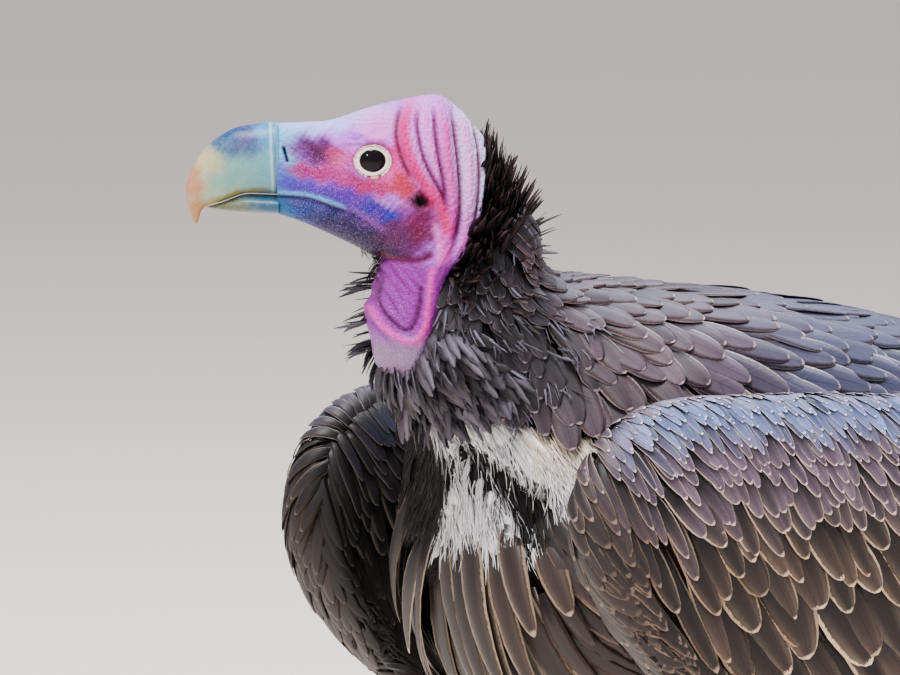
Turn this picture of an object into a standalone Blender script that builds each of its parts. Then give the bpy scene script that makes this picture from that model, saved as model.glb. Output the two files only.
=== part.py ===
"""Lappet-faced vulture, life size, standing with its wings let down and its head turned to its right.

Metres, +Z up. The bird faces -Y, its left side is +X, and it stands on the floor at Z = 0.
The trunk, neck and head are one lofted form, parted by thin flat cuts. The form is drawn with the
head straight ahead, and the neck is then turned about an upright axis.
"""

import math

import bmesh
import bpy
import numpy as np
from mathutils import Matrix, Vector
from mathutils.bvhtree import BVHTree

GAP = 0.0003  # between neighbouring solids
EDGE_GAP = 0.0012  # between the coverts' edge and the flight feathers
CUTTER_GROWTH = 0.0005  # how far a cutter stands outside the solid that it stands for

# ---------------------------------------------------------------- the bird's size and pose
EYE_Y, EYE_Z = -0.218, 0.610  # the eyes, before the head is turned
EYE_RADIUS = 0.0115
EYE_BACK = 0.0025  # an eyeball's centre behind the point that the head is measured from
EYE_OUT = 0.0225  # an eyeball's centre from the middle plane
HEAD_TURN = math.radians(32.0)
TURN_PIVOT_Y = -0.176  # the upright axis that the neck turns about

SHOULDER_TOP = 0.472  # top edge of the let-down left wing
RIGHT_WING_DROP = 0.020  # the right wing hangs this much lower
WING_REST_X = 0.158  # a wing's sheet from the middle plane, at its top edge
SECONDARY_LENGTH = 0.325
PRIMARY_LENGTH = 0.60
TAIL_LENGTH = 0.275
LEG_X = 0.078
FOOT_Y = 0.030
HEEL_Y, HEEL_Z = 0.075, 0.168
MIDDLE_TOE, INNER_TOE, OUTER_TOE, HIND_TOE = 0.104, 0.066, 0.080, 0.046

# Cross-sections from the bill's base to the tail's root, each in its own plane:
# top (y, z), bottom (y, z), half width, fullness of the superellipse, share of the head's turn.
SECTIONS = np.array(
    (
        (-0.2720, 0.6300, -0.2720, 0.5760, 0.0155, 2.2, 1.00),  # 0 front of the cere
        (-0.2560, 0.6305, -0.2570, 0.5710, 0.0185, 2.2, 1.00),  # 1 nostrils
        (-0.2390, 0.6320, -0.2410, 0.5640, 0.0245, 2.2, 1.00),  # 2 lores
        (-0.2180, 0.6390, -0.2230, 0.5555, 0.0325, 2.3, 1.00),  # 3 eyes
        (-0.1960, 0.6440, -0.2170, 0.5520, 0.0375, 2.3, 1.00),  # 4 cheeks
        (-0.1750, 0.6460, -0.2110, 0.5500, 0.0405, 2.3, 1.00),  # 5 crown and jaw corner
        (-0.1590, 0.6330, -0.2125, 0.5430, 0.0420, 2.2, 0.96),  # 6 back of the head
        (-0.1430, 0.6140, -0.2160, 0.5300, 0.0430, 2.1, 0.86),  # 7 nape
        (-0.1270, 0.5930, -0.2190, 0.5140, 0.0450, 2.0, 0.70),  # 8 top of the ruff
        (-0.1165, 0.5710, -0.2160, 0.4980, 0.0490, 2.0, 0.50),  # 9 ruff
        (-0.1130, 0.5490, -0.2110, 0.4820, 0.0560, 2.0, 0.30),  # 10 foot of the ruff
        (-0.0980, 0.5370, -0.1940, 0.4620, 0.0620, 2.0, 0.14),  # 11 root of the neck
        (-0.0740, 0.5335, -0.1790, 0.4300, 0.0760, 2.1, 0.04),  # 12 crop
        (-0.0430, 0.5300, -0.1730, 0.3830, 0.0970, 2.3, 0.00),  # 13 breast
        (-0.0100, 0.5250, -0.1660, 0.3290, 0.1180, 2.4, 0.00),  # 14 shoulders
        (0.0400, 0.5180, -0.1360, 0.2800, 0.1280, 2.4, 0.00),  # 15 back
        (0.1000, 0.5080, -0.0600, 0.2550, 0.1260, 2.3, 0.00),  # 16 loins
        (0.1600, 0.4940, 0.0550, 0.2660, 0.1140, 2.2, 0.00),  # 17 hips
        (0.2150, 0.4740, 0.1420, 0.2900, 0.0930, 2.1, 0.00),  # 18 rump
        (0.2650, 0.4490, 0.2180, 0.3290, 0.0680, 2.0, 0.00),  # 19 vent
        (0.3080, 0.4240, 0.2880, 0.3680, 0.0500, 2.0, 0.00),  # 20 root of the tail
        (0.3620, 0.3960, 0.3570, 0.3710, 0.0560, 2.0, 0.00),  # 21 end of the tail coverts
    )
)

# ---------------------------------------------------------------- colours of the sub-parts
PAINTS = {
    "skin": ((0.72, 0.30, 0.36), 0.55),
    "horn": ((0.50, 0.50, 0.38), 0.35),
    "eye": ((0.02, 0.015, 0.012), 0.08),
    "ruff": ((0.10, 0.075, 0.065), 0.85),
    "plumage": ((0.16, 0.12, 0.105), 0.80),
    "flight": ((0.075, 0.058, 0.052), 0.70),
    "down": ((0.72, 0.66, 0.58), 0.90),
    "leg": ((0.34, 0.36, 0.40), 0.60),
    "claw": ((0.05, 0.045, 0.04), 0.40),
}


def paint(name):
    """The material of that name, made once."""
    found = bpy.data.materials.get(name)
    if found:
        return found
    colour, roughness = PAINTS[name]
    made = bpy.data.materials.new(name)
    made.use_nodes = True
    shader = made.node_tree.nodes["Principled BSDF"]
    shader.inputs["Base Color"].default_value = (*colour, 1.0)
    shader.inputs["Roughness"].default_value = roughness
    shader.inputs["Metallic"].default_value = 0.0
    return made


def add_object(name, points, faces, finish, smooth=True):
    """An object from points and faces, with its normals made to face out."""
    mesh = bpy.data.meshes.new(name)
    mesh.from_pydata([tuple(p) for p in points], [], [tuple(int(i) for i in f) for f in faces])
    work = bmesh.new()
    work.from_mesh(mesh)
    bmesh.ops.recalc_face_normals(work, faces=work.faces)
    work.to_mesh(mesh)
    work.free()
    if smooth:
        mesh.shade_smooth()
        mesh.set_sharp_from_angle(angle=math.radians(50))
    mesh.materials.append(paint(finish))
    made = bpy.data.objects.new(name, mesh)
    bpy.context.scene.collection.objects.link(made)
    return made


def closed_loft(rings):
    """Points and faces of a body through these closed rings, with a flat cap at each end."""
    count, around = rings.shape[:2]
    at = np.arange(count * around).reshape(count, around)
    a, b = at[:-1], at[1:]
    faces = np.stack([a, np.roll(a, -1, 1), np.roll(b, -1, 1), b], -1).reshape(-1, 4).tolist()
    return rings.reshape(-1, 3), faces + [at[0].tolist(), at[-1][::-1].tolist()]


def closed_plate(outer, inner):
    """Points and faces of a plate between two grids of the same shape."""
    rows, columns = outer.shape[:2]
    top = np.arange(rows * columns).reshape(rows, columns)
    low = top + rows * columns
    faces = [(g[i, j], g[i + 1, j], g[i + 1, j + 1], g[i, j + 1])
             for g in (top, low) for i in range(rows - 1) for j in range(columns - 1)]
    rim = [(i, 0) for i in range(rows)] + [(rows - 1, j) for j in range(1, columns)]
    rim += [(i, columns - 1) for i in range(rows - 2, -1, -1)] + [(0, j) for j in range(columns - 2, 0, -1)]
    faces += [(top[p], top[q], low[q], low[p]) for p, q in zip(rim, rim[1:] + rim[:1])]
    return np.concatenate([outer.reshape(-1, 3), inner.reshape(-1, 3)]), faces


def smooth_rows(rows, at):
    """The rows of a table read at fractional positions, on a Catmull-Rom curve through them."""
    at = np.clip(np.asarray(at, float), 0, len(rows) - 1)
    i = np.minimum(at.astype(int), len(rows) - 2)
    t = (at - i).reshape(-1, *[1] * (rows.ndim - 1))
    before = np.where(i == 0, 0, i - 1)
    after = np.minimum(i + 2, len(rows) - 1)
    p0, p1, p2, p3 = rows[before], rows[i], rows[i + 1], rows[after]
    return 0.5 * (2 * p1 + (p2 - p0) * t + (2 * p0 - 5 * p1 + 4 * p2 - p3) * t**2
                  + (3 * p1 - p0 - 3 * p2 + p3) * t**3)


def cut(target, cutter, operation="DIFFERENCE"):
    """Applies one Boolean to the target and removes the cutter."""
    step = target.modifiers.new("cut", "BOOLEAN")
    step.operation, step.object, step.solver = operation, cutter, "EXACT"
    graph = bpy.context.evaluated_depsgraph_get()
    made = bpy.data.meshes.new_from_object(target.evaluated_get(graph), depsgraph=graph)
    target.modifiers.clear()
    target.data = made
    bpy.data.objects.remove(cutter)


def mirrored(points, side):
    """The points on the bird's left as they are (side 1), or mirrored to its right (side -1)."""
    return points * (side, 1, 1)


# ---------------------------------------------------------------- trunk, neck and head
def turn_of(points, share):
    """Turns points about the neck's upright axis by a share of the head's turn, to the bird's right."""
    angle = HEAD_TURN * np.asarray(share)
    x, y = points[..., 0], points[..., 1] - TURN_PIVOT_Y
    turned = np.stack([x * np.cos(angle) + y * np.sin(angle),
                       y * np.cos(angle) - x * np.sin(angle) + TURN_PIVOT_Y, points[..., 2]], -1)
    return turned


def body_rings(stations, around, growth=0.0, shift=0.0):
    """Closed rings of the lofted form. growth moves them outwards, and shift along each ring's axis."""
    rows = smooth_rows(SECTIONS, stations)[:, :, None]
    top_y, top_z, low_y, low_z, half, fullness, share = (rows[:, c] for c in range(7))
    v = np.linspace(0, 2 * math.pi, around, endpoint=False)[None]
    up_y, up_z = (top_y - low_y) / 2, (top_z - low_z) / 2
    tall = np.hypot(up_y, up_z)
    sine, cosine = np.sin(v), np.cos(v)
    across = np.sign(sine) * np.abs(sine) ** (2 / fullness) * (half + growth)
    along = np.sign(cosine) * np.abs(cosine) ** (2 / fullness) * (tall + growth)
    unit_y, unit_z = up_y / tall, up_z / tall
    y = (top_y + low_y) / 2 + along * unit_y + shift * unit_z
    z = (top_z + low_z) / 2 + along * unit_z - shift * unit_y
    return turn_of(np.stack([across, y, z], -1), share)


HEAD_END, RUFF_END, NECK_END, TRUNK_END = 6.35, 9.5, 12.5, 18.0
# Each length of the form: first and last station, rings, points around, finish.
LENGTHS = {
    "head": (0, HEAD_END, 15, 26, "skin"),
    "neck_upper": (HEAD_END, RUFF_END, 7, 22, "ruff"),
    "neck_lower": (RUFF_END, NECK_END, 7, 22, "ruff"),
    "trunk": (NECK_END, TRUNK_END, 11, 22, "plumage"),
    "rump": (TRUNK_END, 21, 6, 22, "plumage"),
}


def body_length(word, name, growth, back):
    """One length of the lofted form, grown by growth, its flat ends standing back from the parting planes."""
    first, last, rings, around, finish = LENGTHS[word]
    form = body_rings(np.linspace(first, last, rings), around, growth)
    form[0] = body_rings([first], around, growth, back)[0]
    form[-1] = body_rings([last], around, growth, -back)[0]
    return add_object(name, *closed_loft(form), finish)


def cut_by_body(target, *words):
    """Parts the target from those lengths of the body."""
    for word in words:
        cut(target, body_length(word, "cutter", CUTTER_GROWTH, -CUTTER_GROWTH))


def make_body():
    for word in LENGTHS:
        body_length(word, word, 0.0, GAP / 2)
    for side in (1, -1):
        socket = ball("socket", eye_centre(side), EYE_RADIUS + GAP, "eye")
        cut(bpy.data.objects["head"], socket)


# ---------------------------------------------------------------- eyes, bill and skin folds
def ball(name, centre, radius, finish):
    work = bmesh.new()
    bmesh.ops.create_uvsphere(work, u_segments=14, v_segments=8, radius=radius,
                              matrix=Matrix.Translation(centre) @ Matrix.Rotation(math.pi / 2, 4, "X"))
    points = [tuple(v.co) for v in work.verts]
    faces = [[v.index for v in f.verts] for f in work.faces]
    work.free()
    return add_object(name, points, faces, finish)


def eye_centre(side):
    return Vector(turn_of(np.array((side * EYE_OUT, EYE_Y + EYE_BACK, EYE_Z)), 1.0))


def make_eyes():
    for name, side in (("eye_left", 1), ("eye_right", -1)):
        ball(name, eye_centre(side), EYE_RADIUS, "eye")


# Rows of the bill's two halves, in millimetres forward of and above the eyes:
# top (forward, up), bottom (forward, up), half width.
UPPER_BILL = np.array((
    (54, 20.0, 54, -22.3, 15.3), (66, 19.6, 64, -21.8, 14.8), (79, 17.2, 73, -21.8, 13.8),
    (91, 10.5, 80, -24.0, 12.2), (100, 1.0, 87, -26.6, 10.2), (106, -10, 93, -28.2, 8.2),
    (108.5, -21, 98, -31.0, 5.8), (107, -31, 100, -35.0, 3.6), (103.5, -39.5, 101.5, -39.8, 1.0),
))
LOWER_BILL = np.array((
    (54, -22.9, 54, -34.0, 12.6), (64, -22.4, 64, -33.6, 11.8), (73, -22.4, 74, -33.2, 10.6),
    (80, -24.6, 82, -32.6, 8.8), (87, -27.3, 89, -31.6, 6.0), (92.5, -28.9, 96, -30.2, 1.6),
))


def bill_half(name, rows, rings, around):
    rows = smooth_rows(rows, np.linspace(0, len(rows) - 1, rings))[:, :, None] / 1000
    top_f, top_z, low_f, low_z, half = (rows[:, c] for c in range(5))
    v = np.linspace(0, 2 * math.pi, around, endpoint=False)[None]
    across = np.sin(v) * half
    along = np.cos(v)
    forward = (top_f + low_f) / 2 + along * (top_f - low_f) / 2
    up = (top_z + low_z) / 2 + along * (top_z - low_z) / 2
    form = np.stack([across, EYE_Y - forward, EYE_Z + up], -1)
    form[0, :, 1] -= GAP / 2
    add_object(name, *closed_loft(turn_of(form, 1.0)), "horn")


def make_bill():
    bill_half("bill_upper", UPPER_BILL, 13, 16)
    bill_half("bill_lower", LOWER_BILL, 8, 14)


# The fold of skin that runs from the crown down behind the ear and round the throat,
# as seen from the side: millimetres forward of and above the eyes.
LAPPET_LINE = np.array(((-24, 30), (-29, 10), (-35, -14), (-43, -38), (-41, -58), (-33, -78), (-22, -96)))
LAPPET_RADIUS = 0.0062


def make_lappets():
    points, faces = closed_loft(body_rings(np.linspace(0, 11, 45), 26))
    surface = BVHTree.FromPolygons([Vector(p) for p in points], faces)
    line = smooth_rows(LAPPET_LINE, np.linspace(0, len(LAPPET_LINE) - 1, 12)) / 1000
    for name, side in (("lappet_left", 1), ("lappet_right", -1)):
        outward = Vector((math.cos(HEAD_TURN), -math.sin(HEAD_TURN), 0)) * side
        path = []
        for forward, up in line:
            inside = Vector(turn_of(np.array((0.0, EYE_Y - forward, EYE_Z + up)), 1.0))
            path.append(surface.ray_cast(inside + outward, -outward)[0])
        swell = LAPPET_RADIUS * np.sin(np.linspace(0.35, math.pi - 0.35, len(path))) ** 0.5
        fold = add_object(name, *closed_loft(tube_rings(np.array(path), swell, swell, 8, outward)), "skin")
        cut_by_body(fold, "head", "neck_upper", "neck_lower")


# ---------------------------------------------------------------- tubes and stacks for limbs
def tube_rings(path, radius_a, radius_b, around, reference):
    """Rings square to a path. radius_a lies along the reference direction, radius_b across it."""
    tangent = np.gradient(path, axis=0)
    tangent /= np.linalg.norm(tangent, axis=1, keepdims=True)
    first = np.asarray(reference, float) - tangent * (tangent @ np.asarray(reference, float))[:, None]
    first /= np.linalg.norm(first, axis=1, keepdims=True)
    second = np.cross(tangent, first)
    v = np.linspace(0, 2 * math.pi, around, endpoint=False)[None, :, None]
    a = np.broadcast_to(radius_a, len(path))[:, None, None]
    b = np.broadcast_to(radius_b, len(path))[:, None, None]
    return path[:, None] + first[:, None] * np.cos(v) * a + second[:, None] * np.sin(v) * b


def stack_rings(levels, around):
    """Level rings of an upright limb: each level is centre x, y, z and radii along x and y."""
    x, y, z, rx, ry = (levels[:, c, None] for c in range(5))
    v = np.linspace(0, 2 * math.pi, around, endpoint=False)[None]
    return np.stack([x + rx * np.cos(v), y + ry * np.sin(v), z + 0 * v], -1)


# ---------------------------------------------------------------- wings
# A wing is drawn in side view (y, z) and laid on one bowed sheet, which gives x. Its leading edge
# runs from the elbow forward to the wrist, then down and back along the hand.
LEAD_LINE = np.array(((0.165, 0.440), (0.120, 0.459), (0.030, 0.466), (-0.060, 0.471), (-0.128, 0.470),
                      (-0.166, 0.446), (-0.1765, 0.406), (-0.165, 0.366), (-0.134, 0.324), (-0.092, 0.286)))
WRIST = 5.2  # where the forearm ends on that line, counted in its points
# The feathers lean back from the vertical: far back at the elbow, least along the forearm.
ELBOW_LEAN, ARM_LEAN, HAND_LEAN = math.radians(72), math.radians(24), math.radians(60)
PRIMARY_LEAN = math.radians(70)  # one lean for all of them, so that no two cross
ARM_DEPTH, HAND_DEPTH = 0.165, 0.038  # how far the coverts reach


def sheet_x(y, z):
    """The wing's sheet flares as it goes down, bends in round the wrist and closes towards the tail."""
    down = np.clip((SHOULDER_TOP - z) / 0.33, 0, 1.4)
    front = np.clip((-0.10 - y) / 0.10, 0, 1.3)
    back = np.clip((y - 0.10) / 0.36, 0, 1.3)
    return WING_REST_X + 0.010 * np.sin(down * 2.0) - 0.016 * front**2 - 0.075 * back**1.3


def sheet_point(y, z, out, side):
    """A point on the sheet, moved out along its normal."""
    step = 0.001
    x = sheet_x(y, z)
    slope_y = (sheet_x(y + step, z) - sheet_x(y - step, z)) / (2 * step)
    slope_z = (sheet_x(y, z + step) - sheet_x(y, z - step)) / (2 * step)
    normal = np.stack([np.ones_like(x), -slope_y, -slope_z], -1)
    normal /= np.linalg.norm(normal, axis=-1, keepdims=True)
    point = np.stack([x, y, z - (side < 0) * RIGHT_WING_DROP], -1)
    return mirrored(point + normal * np.asarray(out)[..., None], side)


def eased(share):
    share = np.clip(share, 0, 1)
    return share * share * (3 - 2 * share)


def lean_of(s):
    """The feathers' lean at a place on the lead line: the elbow's, then the arm's, then the hand's."""
    to_hand = eased((s - 3.2) / (len(LEAD_LINE) - 1 - 3.2))
    to_elbow = np.clip(1 - s / 2.6, 0, 1) ** 1.5
    return ARM_LEAN + (HAND_LEAN - ARM_LEAN) * to_hand + (ELBOW_LEAN - ARM_LEAN) * to_elbow


def along_feather(s, reach):
    """The side-view point that lies reach down the feather rooted at s on the lead line."""
    root, lean = smooth_rows(LEAD_LINE, s), lean_of(s)
    return root[:, 0] + reach * np.sin(lean), root[:, 1] - reach * np.cos(lean)


def coverts_depth(s):
    return ARM_DEPTH + (HAND_DEPTH - ARM_DEPTH) * eased((s - 4) / (len(LEAD_LINE) - 1 - 4))


HAND_START = WRIST + 0.35
ARM_STATIONS = np.linspace(0, HAND_START, 9)
HAND_STATIONS = np.linspace(HAND_START, len(LEAD_LINE) - 1, 6)


def make_wing_arm(word, side):
    """The arm and hand under their coverts: thick at the lead line, thin at the edge."""
    s = np.concatenate([ARM_STATIONS, HAND_STATIONS[1:]])
    share = np.array((0.0, 0.03, 0.12, 0.30, 0.60, 1.0))
    thick = np.array((0.001, 0.0115, 0.0200, 0.0220, 0.0155, 0.0085))
    depth = coverts_depth(s)
    rings = []
    for t, half in [*zip(share, thick), *zip(share[::-1], -thick[::-1])]:
        y, z = along_feather(s, t * depth)
        rings.append(sheet_point(y, z, np.full_like(y, half), side))
    arm = add_object(f"wing_{word}_arm", *closed_loft(np.stack(rings, 1)), "plumage")
    # The upper arm bridges the trunk and the forearm under the shoulder feathers.
    x = np.linspace(0.075, WING_REST_X, 4)
    level = 0.442 - 0.10 * (x - 0.075) - (side < 0) * RIGHT_WING_DROP * (x - 0.075) / (WING_REST_X - 0.075)
    bridge = np.stack([x, 0.025 + 0 * x, level], -1)
    rings = tube_rings(mirrored(bridge, side), 0.120, np.linspace(0.030, 0.018, 4), 12, (0, 1, 0))
    cut(arm, add_object("bridge", *closed_loft(rings), "plumage"), "UNION")
    cut_by_body(arm, "neck_lower", "trunk", "rump")


def scallop(count, depth):
    """Two steps for each feather: its shaft reaches on, and its edge stands back by depth."""
    return np.where(np.arange(2 * count + 1) % 2 == 1, 0.0, -depth)


def feather_plate(name, stations, steps, out, half, side, reach_to, tips):
    """A plate of flight feathers, two between stations. It starts just past the coverts' edge.

    The first row lies on the straight lines between the stations, as the arm's own edge does.
    The rows then run to the points that reach_to gives, with tips added to each feather's length.
    """
    y, z = along_feather(stations, coverts_depth(stations) + EDGE_GAP)
    index = np.linspace(0, len(stations) - 1, 4 * (len(stations) - 1) + 1)
    at = np.arange(len(stations))
    y0, z0, s = np.interp(index, at, y), np.interp(index, at, z), np.interp(index, at, stations)
    y1, z1 = reach_to(s, y0, z0, tips)
    grids = []
    for face in (1, -1):
        rows = []
        for t in np.linspace(0, 1, steps):
            off = out(t) + face * (half * (1 - 0.5 * t))
            edge = sheet_point(y, z, np.full_like(y, off), side)
            start = np.stack([np.interp(index, at, edge[:, c]) for c in range(3)], -1)
            row = sheet_point(y0 + (y1 - y0) * t, z0 + (z1 - z0) * t, np.full_like(y0, off), side)
            rows.append(start if t == 0 else row)
        grids.append(np.array(rows))
    add_object(name, *closed_plate(*grids), "flight", smooth=False)


def make_secondaries(word, side):
    """The arm's flight feathers, from the edge of the coverts to their scalloped tips."""

    def reach_to(s, y0, z0, tips):
        long = SECONDARY_LENGTH - 0.05 * (s / HAND_START) ** 2 + tips
        return along_feather(s, long)

    tips = scallop(2 * (len(ARM_STATIONS) - 1), 0.006)
    feather_plate(f"wing_{word}_secondaries", ARM_STATIONS, 3, lambda t: 0.0045, 0.0030, side, reach_to, tips)


def make_primaries(word, side):
    """The folded hand's flight feathers, which run back inside the arm's."""

    def reach_to(s, y0, z0, tips):
        share = (s - HAND_START) / (HAND_STATIONS[-1] - HAND_START)
        long = 0.24 + (PRIMARY_LENGTH - HAND_DEPTH - 0.24) * np.sin(share * math.pi * 0.56) + tips
        return y0 + long * math.sin(PRIMARY_LEAN), z0 - long * math.cos(PRIMARY_LEAN)

    tips = scallop(2 * (len(HAND_STATIONS) - 1), 0.008)
    feather_plate(f"wing_{word}_primaries", HAND_STATIONS, 4,
                  lambda t: -0.0040 - 0.0060 * min(1.0, 4 * t), 0.0028, side, reach_to, tips)


def make_wings():
    for word, side in (("left", 1), ("right", -1)):
        make_wing_arm(word, side)
        make_secondaries(word, side)
        make_primaries(word, side)


# ---------------------------------------------------------------- tail
TAIL_ROOT = np.array((0.0, 0.3640, 0.3820))
TAIL_SLOPE = math.radians(19)
TAIL_FEATHERS = 12


def make_tail():
    """A slightly opened fan, wedge-ended, its edges lower than its middle."""
    share = np.linspace(-1, 1, 2 * TAIL_FEATHERS + 1)
    angle = share * math.radians(13)
    long = TAIL_LENGTH * (1 - 0.13 * share**2) + scallop(TAIL_FEATHERS, 0.006)
    root = share * 0.052
    grids = []
    for face in (1, -1):
        rows = []
        for t in np.linspace(0, 1, 4):
            out = root + long * t * np.sin(angle)
            back = GAP + long * t * np.cos(angle)
            sag = 0.012 * share**2 + 0.02 * t * share**2
            half = 0.0085 * (1 - t) ** 2 + 0.0018
            y = TAIL_ROOT[1] + back * math.cos(TAIL_SLOPE)
            z = TAIL_ROOT[2] - back * math.sin(TAIL_SLOPE) - sag + face * half
            rows.append(np.stack([out, y, z], -1))
        grids.append(np.array(rows))
    tail = add_object("tail", *closed_plate(*grids), "flight", smooth=False)
    cut_by_body(tail, "rump")


# ---------------------------------------------------------------- legs and feet
# Each toe's name, its heading from straight ahead (degrees, outwards), its length and its half width.
TOES = (("middle", 4, MIDDLE_TOE, 0.0092), ("inner", -34, INNER_TOE, 0.0092),
        ("outer", 36, OUTER_TOE, 0.0085), ("hind", 188, HIND_TOE, 0.0085))
CLAW_LENGTHS = {"middle": 0.030, "inner": 0.030, "outer": 0.025, "hind": 0.030}
CLAW_CLEARANCE = 0.0005  # a claw's least height over the floor
PAD_TOP = 0.034


def make_leg(word, side):
    thigh = np.array((
        (LEG_X - 0.004, 0.030, 0.335, 0.040, 0.066), (LEG_X, 0.034, 0.285, 0.046, 0.070),
        (LEG_X + 0.002, 0.044, 0.245, 0.043, 0.062), (LEG_X, 0.056, 0.212, 0.034, 0.046),
        (LEG_X, 0.067, 0.186, 0.023, 0.029), (LEG_X, HEEL_Y, HEEL_Z, 0.0155, 0.0175)))
    levels = smooth_rows(thigh, np.linspace(0, len(thigh) - 1, 9))
    feathered = add_object(f"thigh_{word}", *closed_loft(mirrored(stack_rings(levels, 14), side)), "down")
    cut_by_body(feathered, "trunk", "rump")
    shank = np.array((
        (LEG_X, HEEL_Y, HEEL_Z - GAP, 0.0125, 0.0150),
        (LEG_X, HEEL_Y - 0.004, HEEL_Z - 0.018, 0.0120, 0.0135),
        (LEG_X, 0.054, 0.105, 0.0092, 0.0108), (LEG_X, 0.040, 0.060, 0.0098, 0.0112),
        (LEG_X, FOOT_Y + 0.002, PAD_TOP + GAP, 0.0125, 0.0125)))
    levels = smooth_rows(shank, np.linspace(0, len(shank) - 1, 8))
    add_object(f"tarsus_{word}", *closed_loft(mirrored(stack_rings(levels, 12), side)), "leg")
    make_foot(word, side)


def box_under_floor(middle):
    """A block whose top is the floor, round that middle."""
    work = bmesh.new()
    place = Matrix.Translation((*middle, -0.25)) @ Matrix.Diagonal((1, 1, 0.5, 1))
    bmesh.ops.create_cube(work, size=1.0, matrix=place)
    points = [tuple(v.co) for v in work.verts]
    faces = [[v.index for v in f.verts] for f in work.faces]
    work.free()
    return add_object("floor", points, faces, "leg", smooth=False)


def make_foot(word, side):
    """Pad and toes joined, then cut flat underneath, with a claw at the end of each toe."""
    middle = np.array((side * LEG_X, FOOT_Y))
    pad = np.array(((0, 0, -0.006, 0.008, 0.008), (0, 0, 0.004, 0.0185, 0.019), (0, 0, 0.018, 0.0185, 0.0185),
                    (0, 0, 0.029, 0.0150, 0.0150), (0, 0.001, PAD_TOP, 0.0125, 0.0125)))
    rings = stack_rings(pad, 14)
    rings[..., :2] += middle
    foot = add_object(f"foot_{word}", *closed_loft(rings), "leg")
    for toe, heading, length, half in TOES:
        angle = math.radians(heading) * side
        ahead = np.array((math.sin(angle), -math.cos(angle), 0.0))
        t = np.linspace(0, 1, 6)
        knuckles = 1 + 0.10 * np.cos(t * 2 * math.pi * round(length / 0.030))
        radius = half * (1 - 0.22 * t) * knuckles
        path = np.array((*middle, 0.0)) + ahead * (t * length)[:, None]
        path[:, 2] = radius - 0.0022 + 0.006 * np.sin(t * math.pi) * (1 - t) + 0.006 * (1 - t) ** 3
        rings = tube_rings(path, radius, radius * 0.92, 8, (0, 0, 1))
        cut(foot, add_object("toe", *closed_loft(rings), "leg"), "UNION")
        make_claw(f"claw_{toe}_{word}", path[-1], ahead, radius[-1], CLAW_LENGTHS[toe])
    cut(foot, box_under_floor(middle))


def make_claw(name, start, ahead, radius, long):
    """A horn that arches up and over, down to a point just above the floor."""
    t = np.linspace(0, 1, 6)
    path = start + ahead * (GAP + 0.0006 + long * np.sin(t * 1.45))[:, None]
    path[:, 2] = start[2] + 0.006 * np.sin(t * math.pi) - (start[2] - 0.0045) * t**2
    thin = radius * 0.80 * (1 - t) ** 0.75 + 0.0007
    rings = tube_rings(path, thin, thin * 0.8, 7, (0, 0, 1))
    rings[0] -= ahead * ((rings[0] - path[0]) @ ahead)[:, None]  # the root is square to the toe
    rings[..., 2] = np.maximum(rings[..., 2], CLAW_CLEARANCE)
    add_object(name, *closed_loft(rings), "claw")


def centre_over_origin():
    """Puts the middle of the object's box over the origin, in X and Y."""
    solids = [o for o in bpy.context.scene.objects if o.type == "MESH"]
    corners = np.concatenate([np.array([tuple(v.co) for v in o.data.vertices]) for o in solids])
    middle = (corners.min(0) + corners.max(0)) / 2
    for solid in solids:
        solid.data.transform(Matrix.Translation((-middle[0], -middle[1], 0)))


for leftover in list(bpy.data.objects):
    bpy.data.objects.remove(leftover)
make_body()
make_eyes()
make_bill()
make_lappets()
make_wings()
make_tail()
make_leg("left", 1)
make_leg("right", -1)
centre_over_origin()
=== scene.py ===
import math

import bpy
import numpy as np
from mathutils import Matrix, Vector


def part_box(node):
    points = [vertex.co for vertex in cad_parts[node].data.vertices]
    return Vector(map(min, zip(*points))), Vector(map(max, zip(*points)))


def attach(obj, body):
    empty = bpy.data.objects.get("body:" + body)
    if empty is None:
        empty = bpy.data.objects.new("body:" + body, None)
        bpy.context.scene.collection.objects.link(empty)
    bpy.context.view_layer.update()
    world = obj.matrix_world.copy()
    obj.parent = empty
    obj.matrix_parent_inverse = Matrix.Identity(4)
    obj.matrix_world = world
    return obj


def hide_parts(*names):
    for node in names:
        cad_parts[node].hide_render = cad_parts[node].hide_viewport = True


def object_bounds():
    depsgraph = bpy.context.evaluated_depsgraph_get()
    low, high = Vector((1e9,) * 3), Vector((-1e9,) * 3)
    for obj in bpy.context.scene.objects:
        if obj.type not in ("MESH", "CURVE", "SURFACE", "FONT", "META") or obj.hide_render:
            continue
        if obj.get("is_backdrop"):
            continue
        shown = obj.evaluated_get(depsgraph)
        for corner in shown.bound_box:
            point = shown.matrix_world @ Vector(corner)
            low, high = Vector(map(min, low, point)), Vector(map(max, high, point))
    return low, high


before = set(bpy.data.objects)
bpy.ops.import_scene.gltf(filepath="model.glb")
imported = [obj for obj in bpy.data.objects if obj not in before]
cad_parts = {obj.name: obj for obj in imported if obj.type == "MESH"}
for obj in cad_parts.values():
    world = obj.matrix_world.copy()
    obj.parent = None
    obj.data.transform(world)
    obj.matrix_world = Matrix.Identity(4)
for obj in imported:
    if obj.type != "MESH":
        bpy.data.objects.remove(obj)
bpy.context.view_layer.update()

# ================================================================ camera
# A long lens five metres off, level with the bird's left side and a little above its head. It looks
# along the flank from in front. The point it aims at is measured from the middle between the eyes.
EYES = (np.array(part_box("eye_left")[0]) + np.array(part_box("eye_left")[1])
        + np.array(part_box("eye_right")[0]) + np.array(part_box("eye_right")[1])) / 4
AZIMUTH, ELEVATION = math.radians(57), math.radians(6)
AWAY = np.array((math.sin(AZIMUTH) * math.cos(ELEVATION),
                 -math.cos(AZIMUTH) * math.cos(ELEVATION), math.sin(ELEVATION)))
AIM = EYES + (-0.0069, 0.0596, -0.1123)
lens = bpy.data.cameras.new("camera")
lens.lens, lens.sensor_width, lens.clip_end = 333, 36, 200
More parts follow.
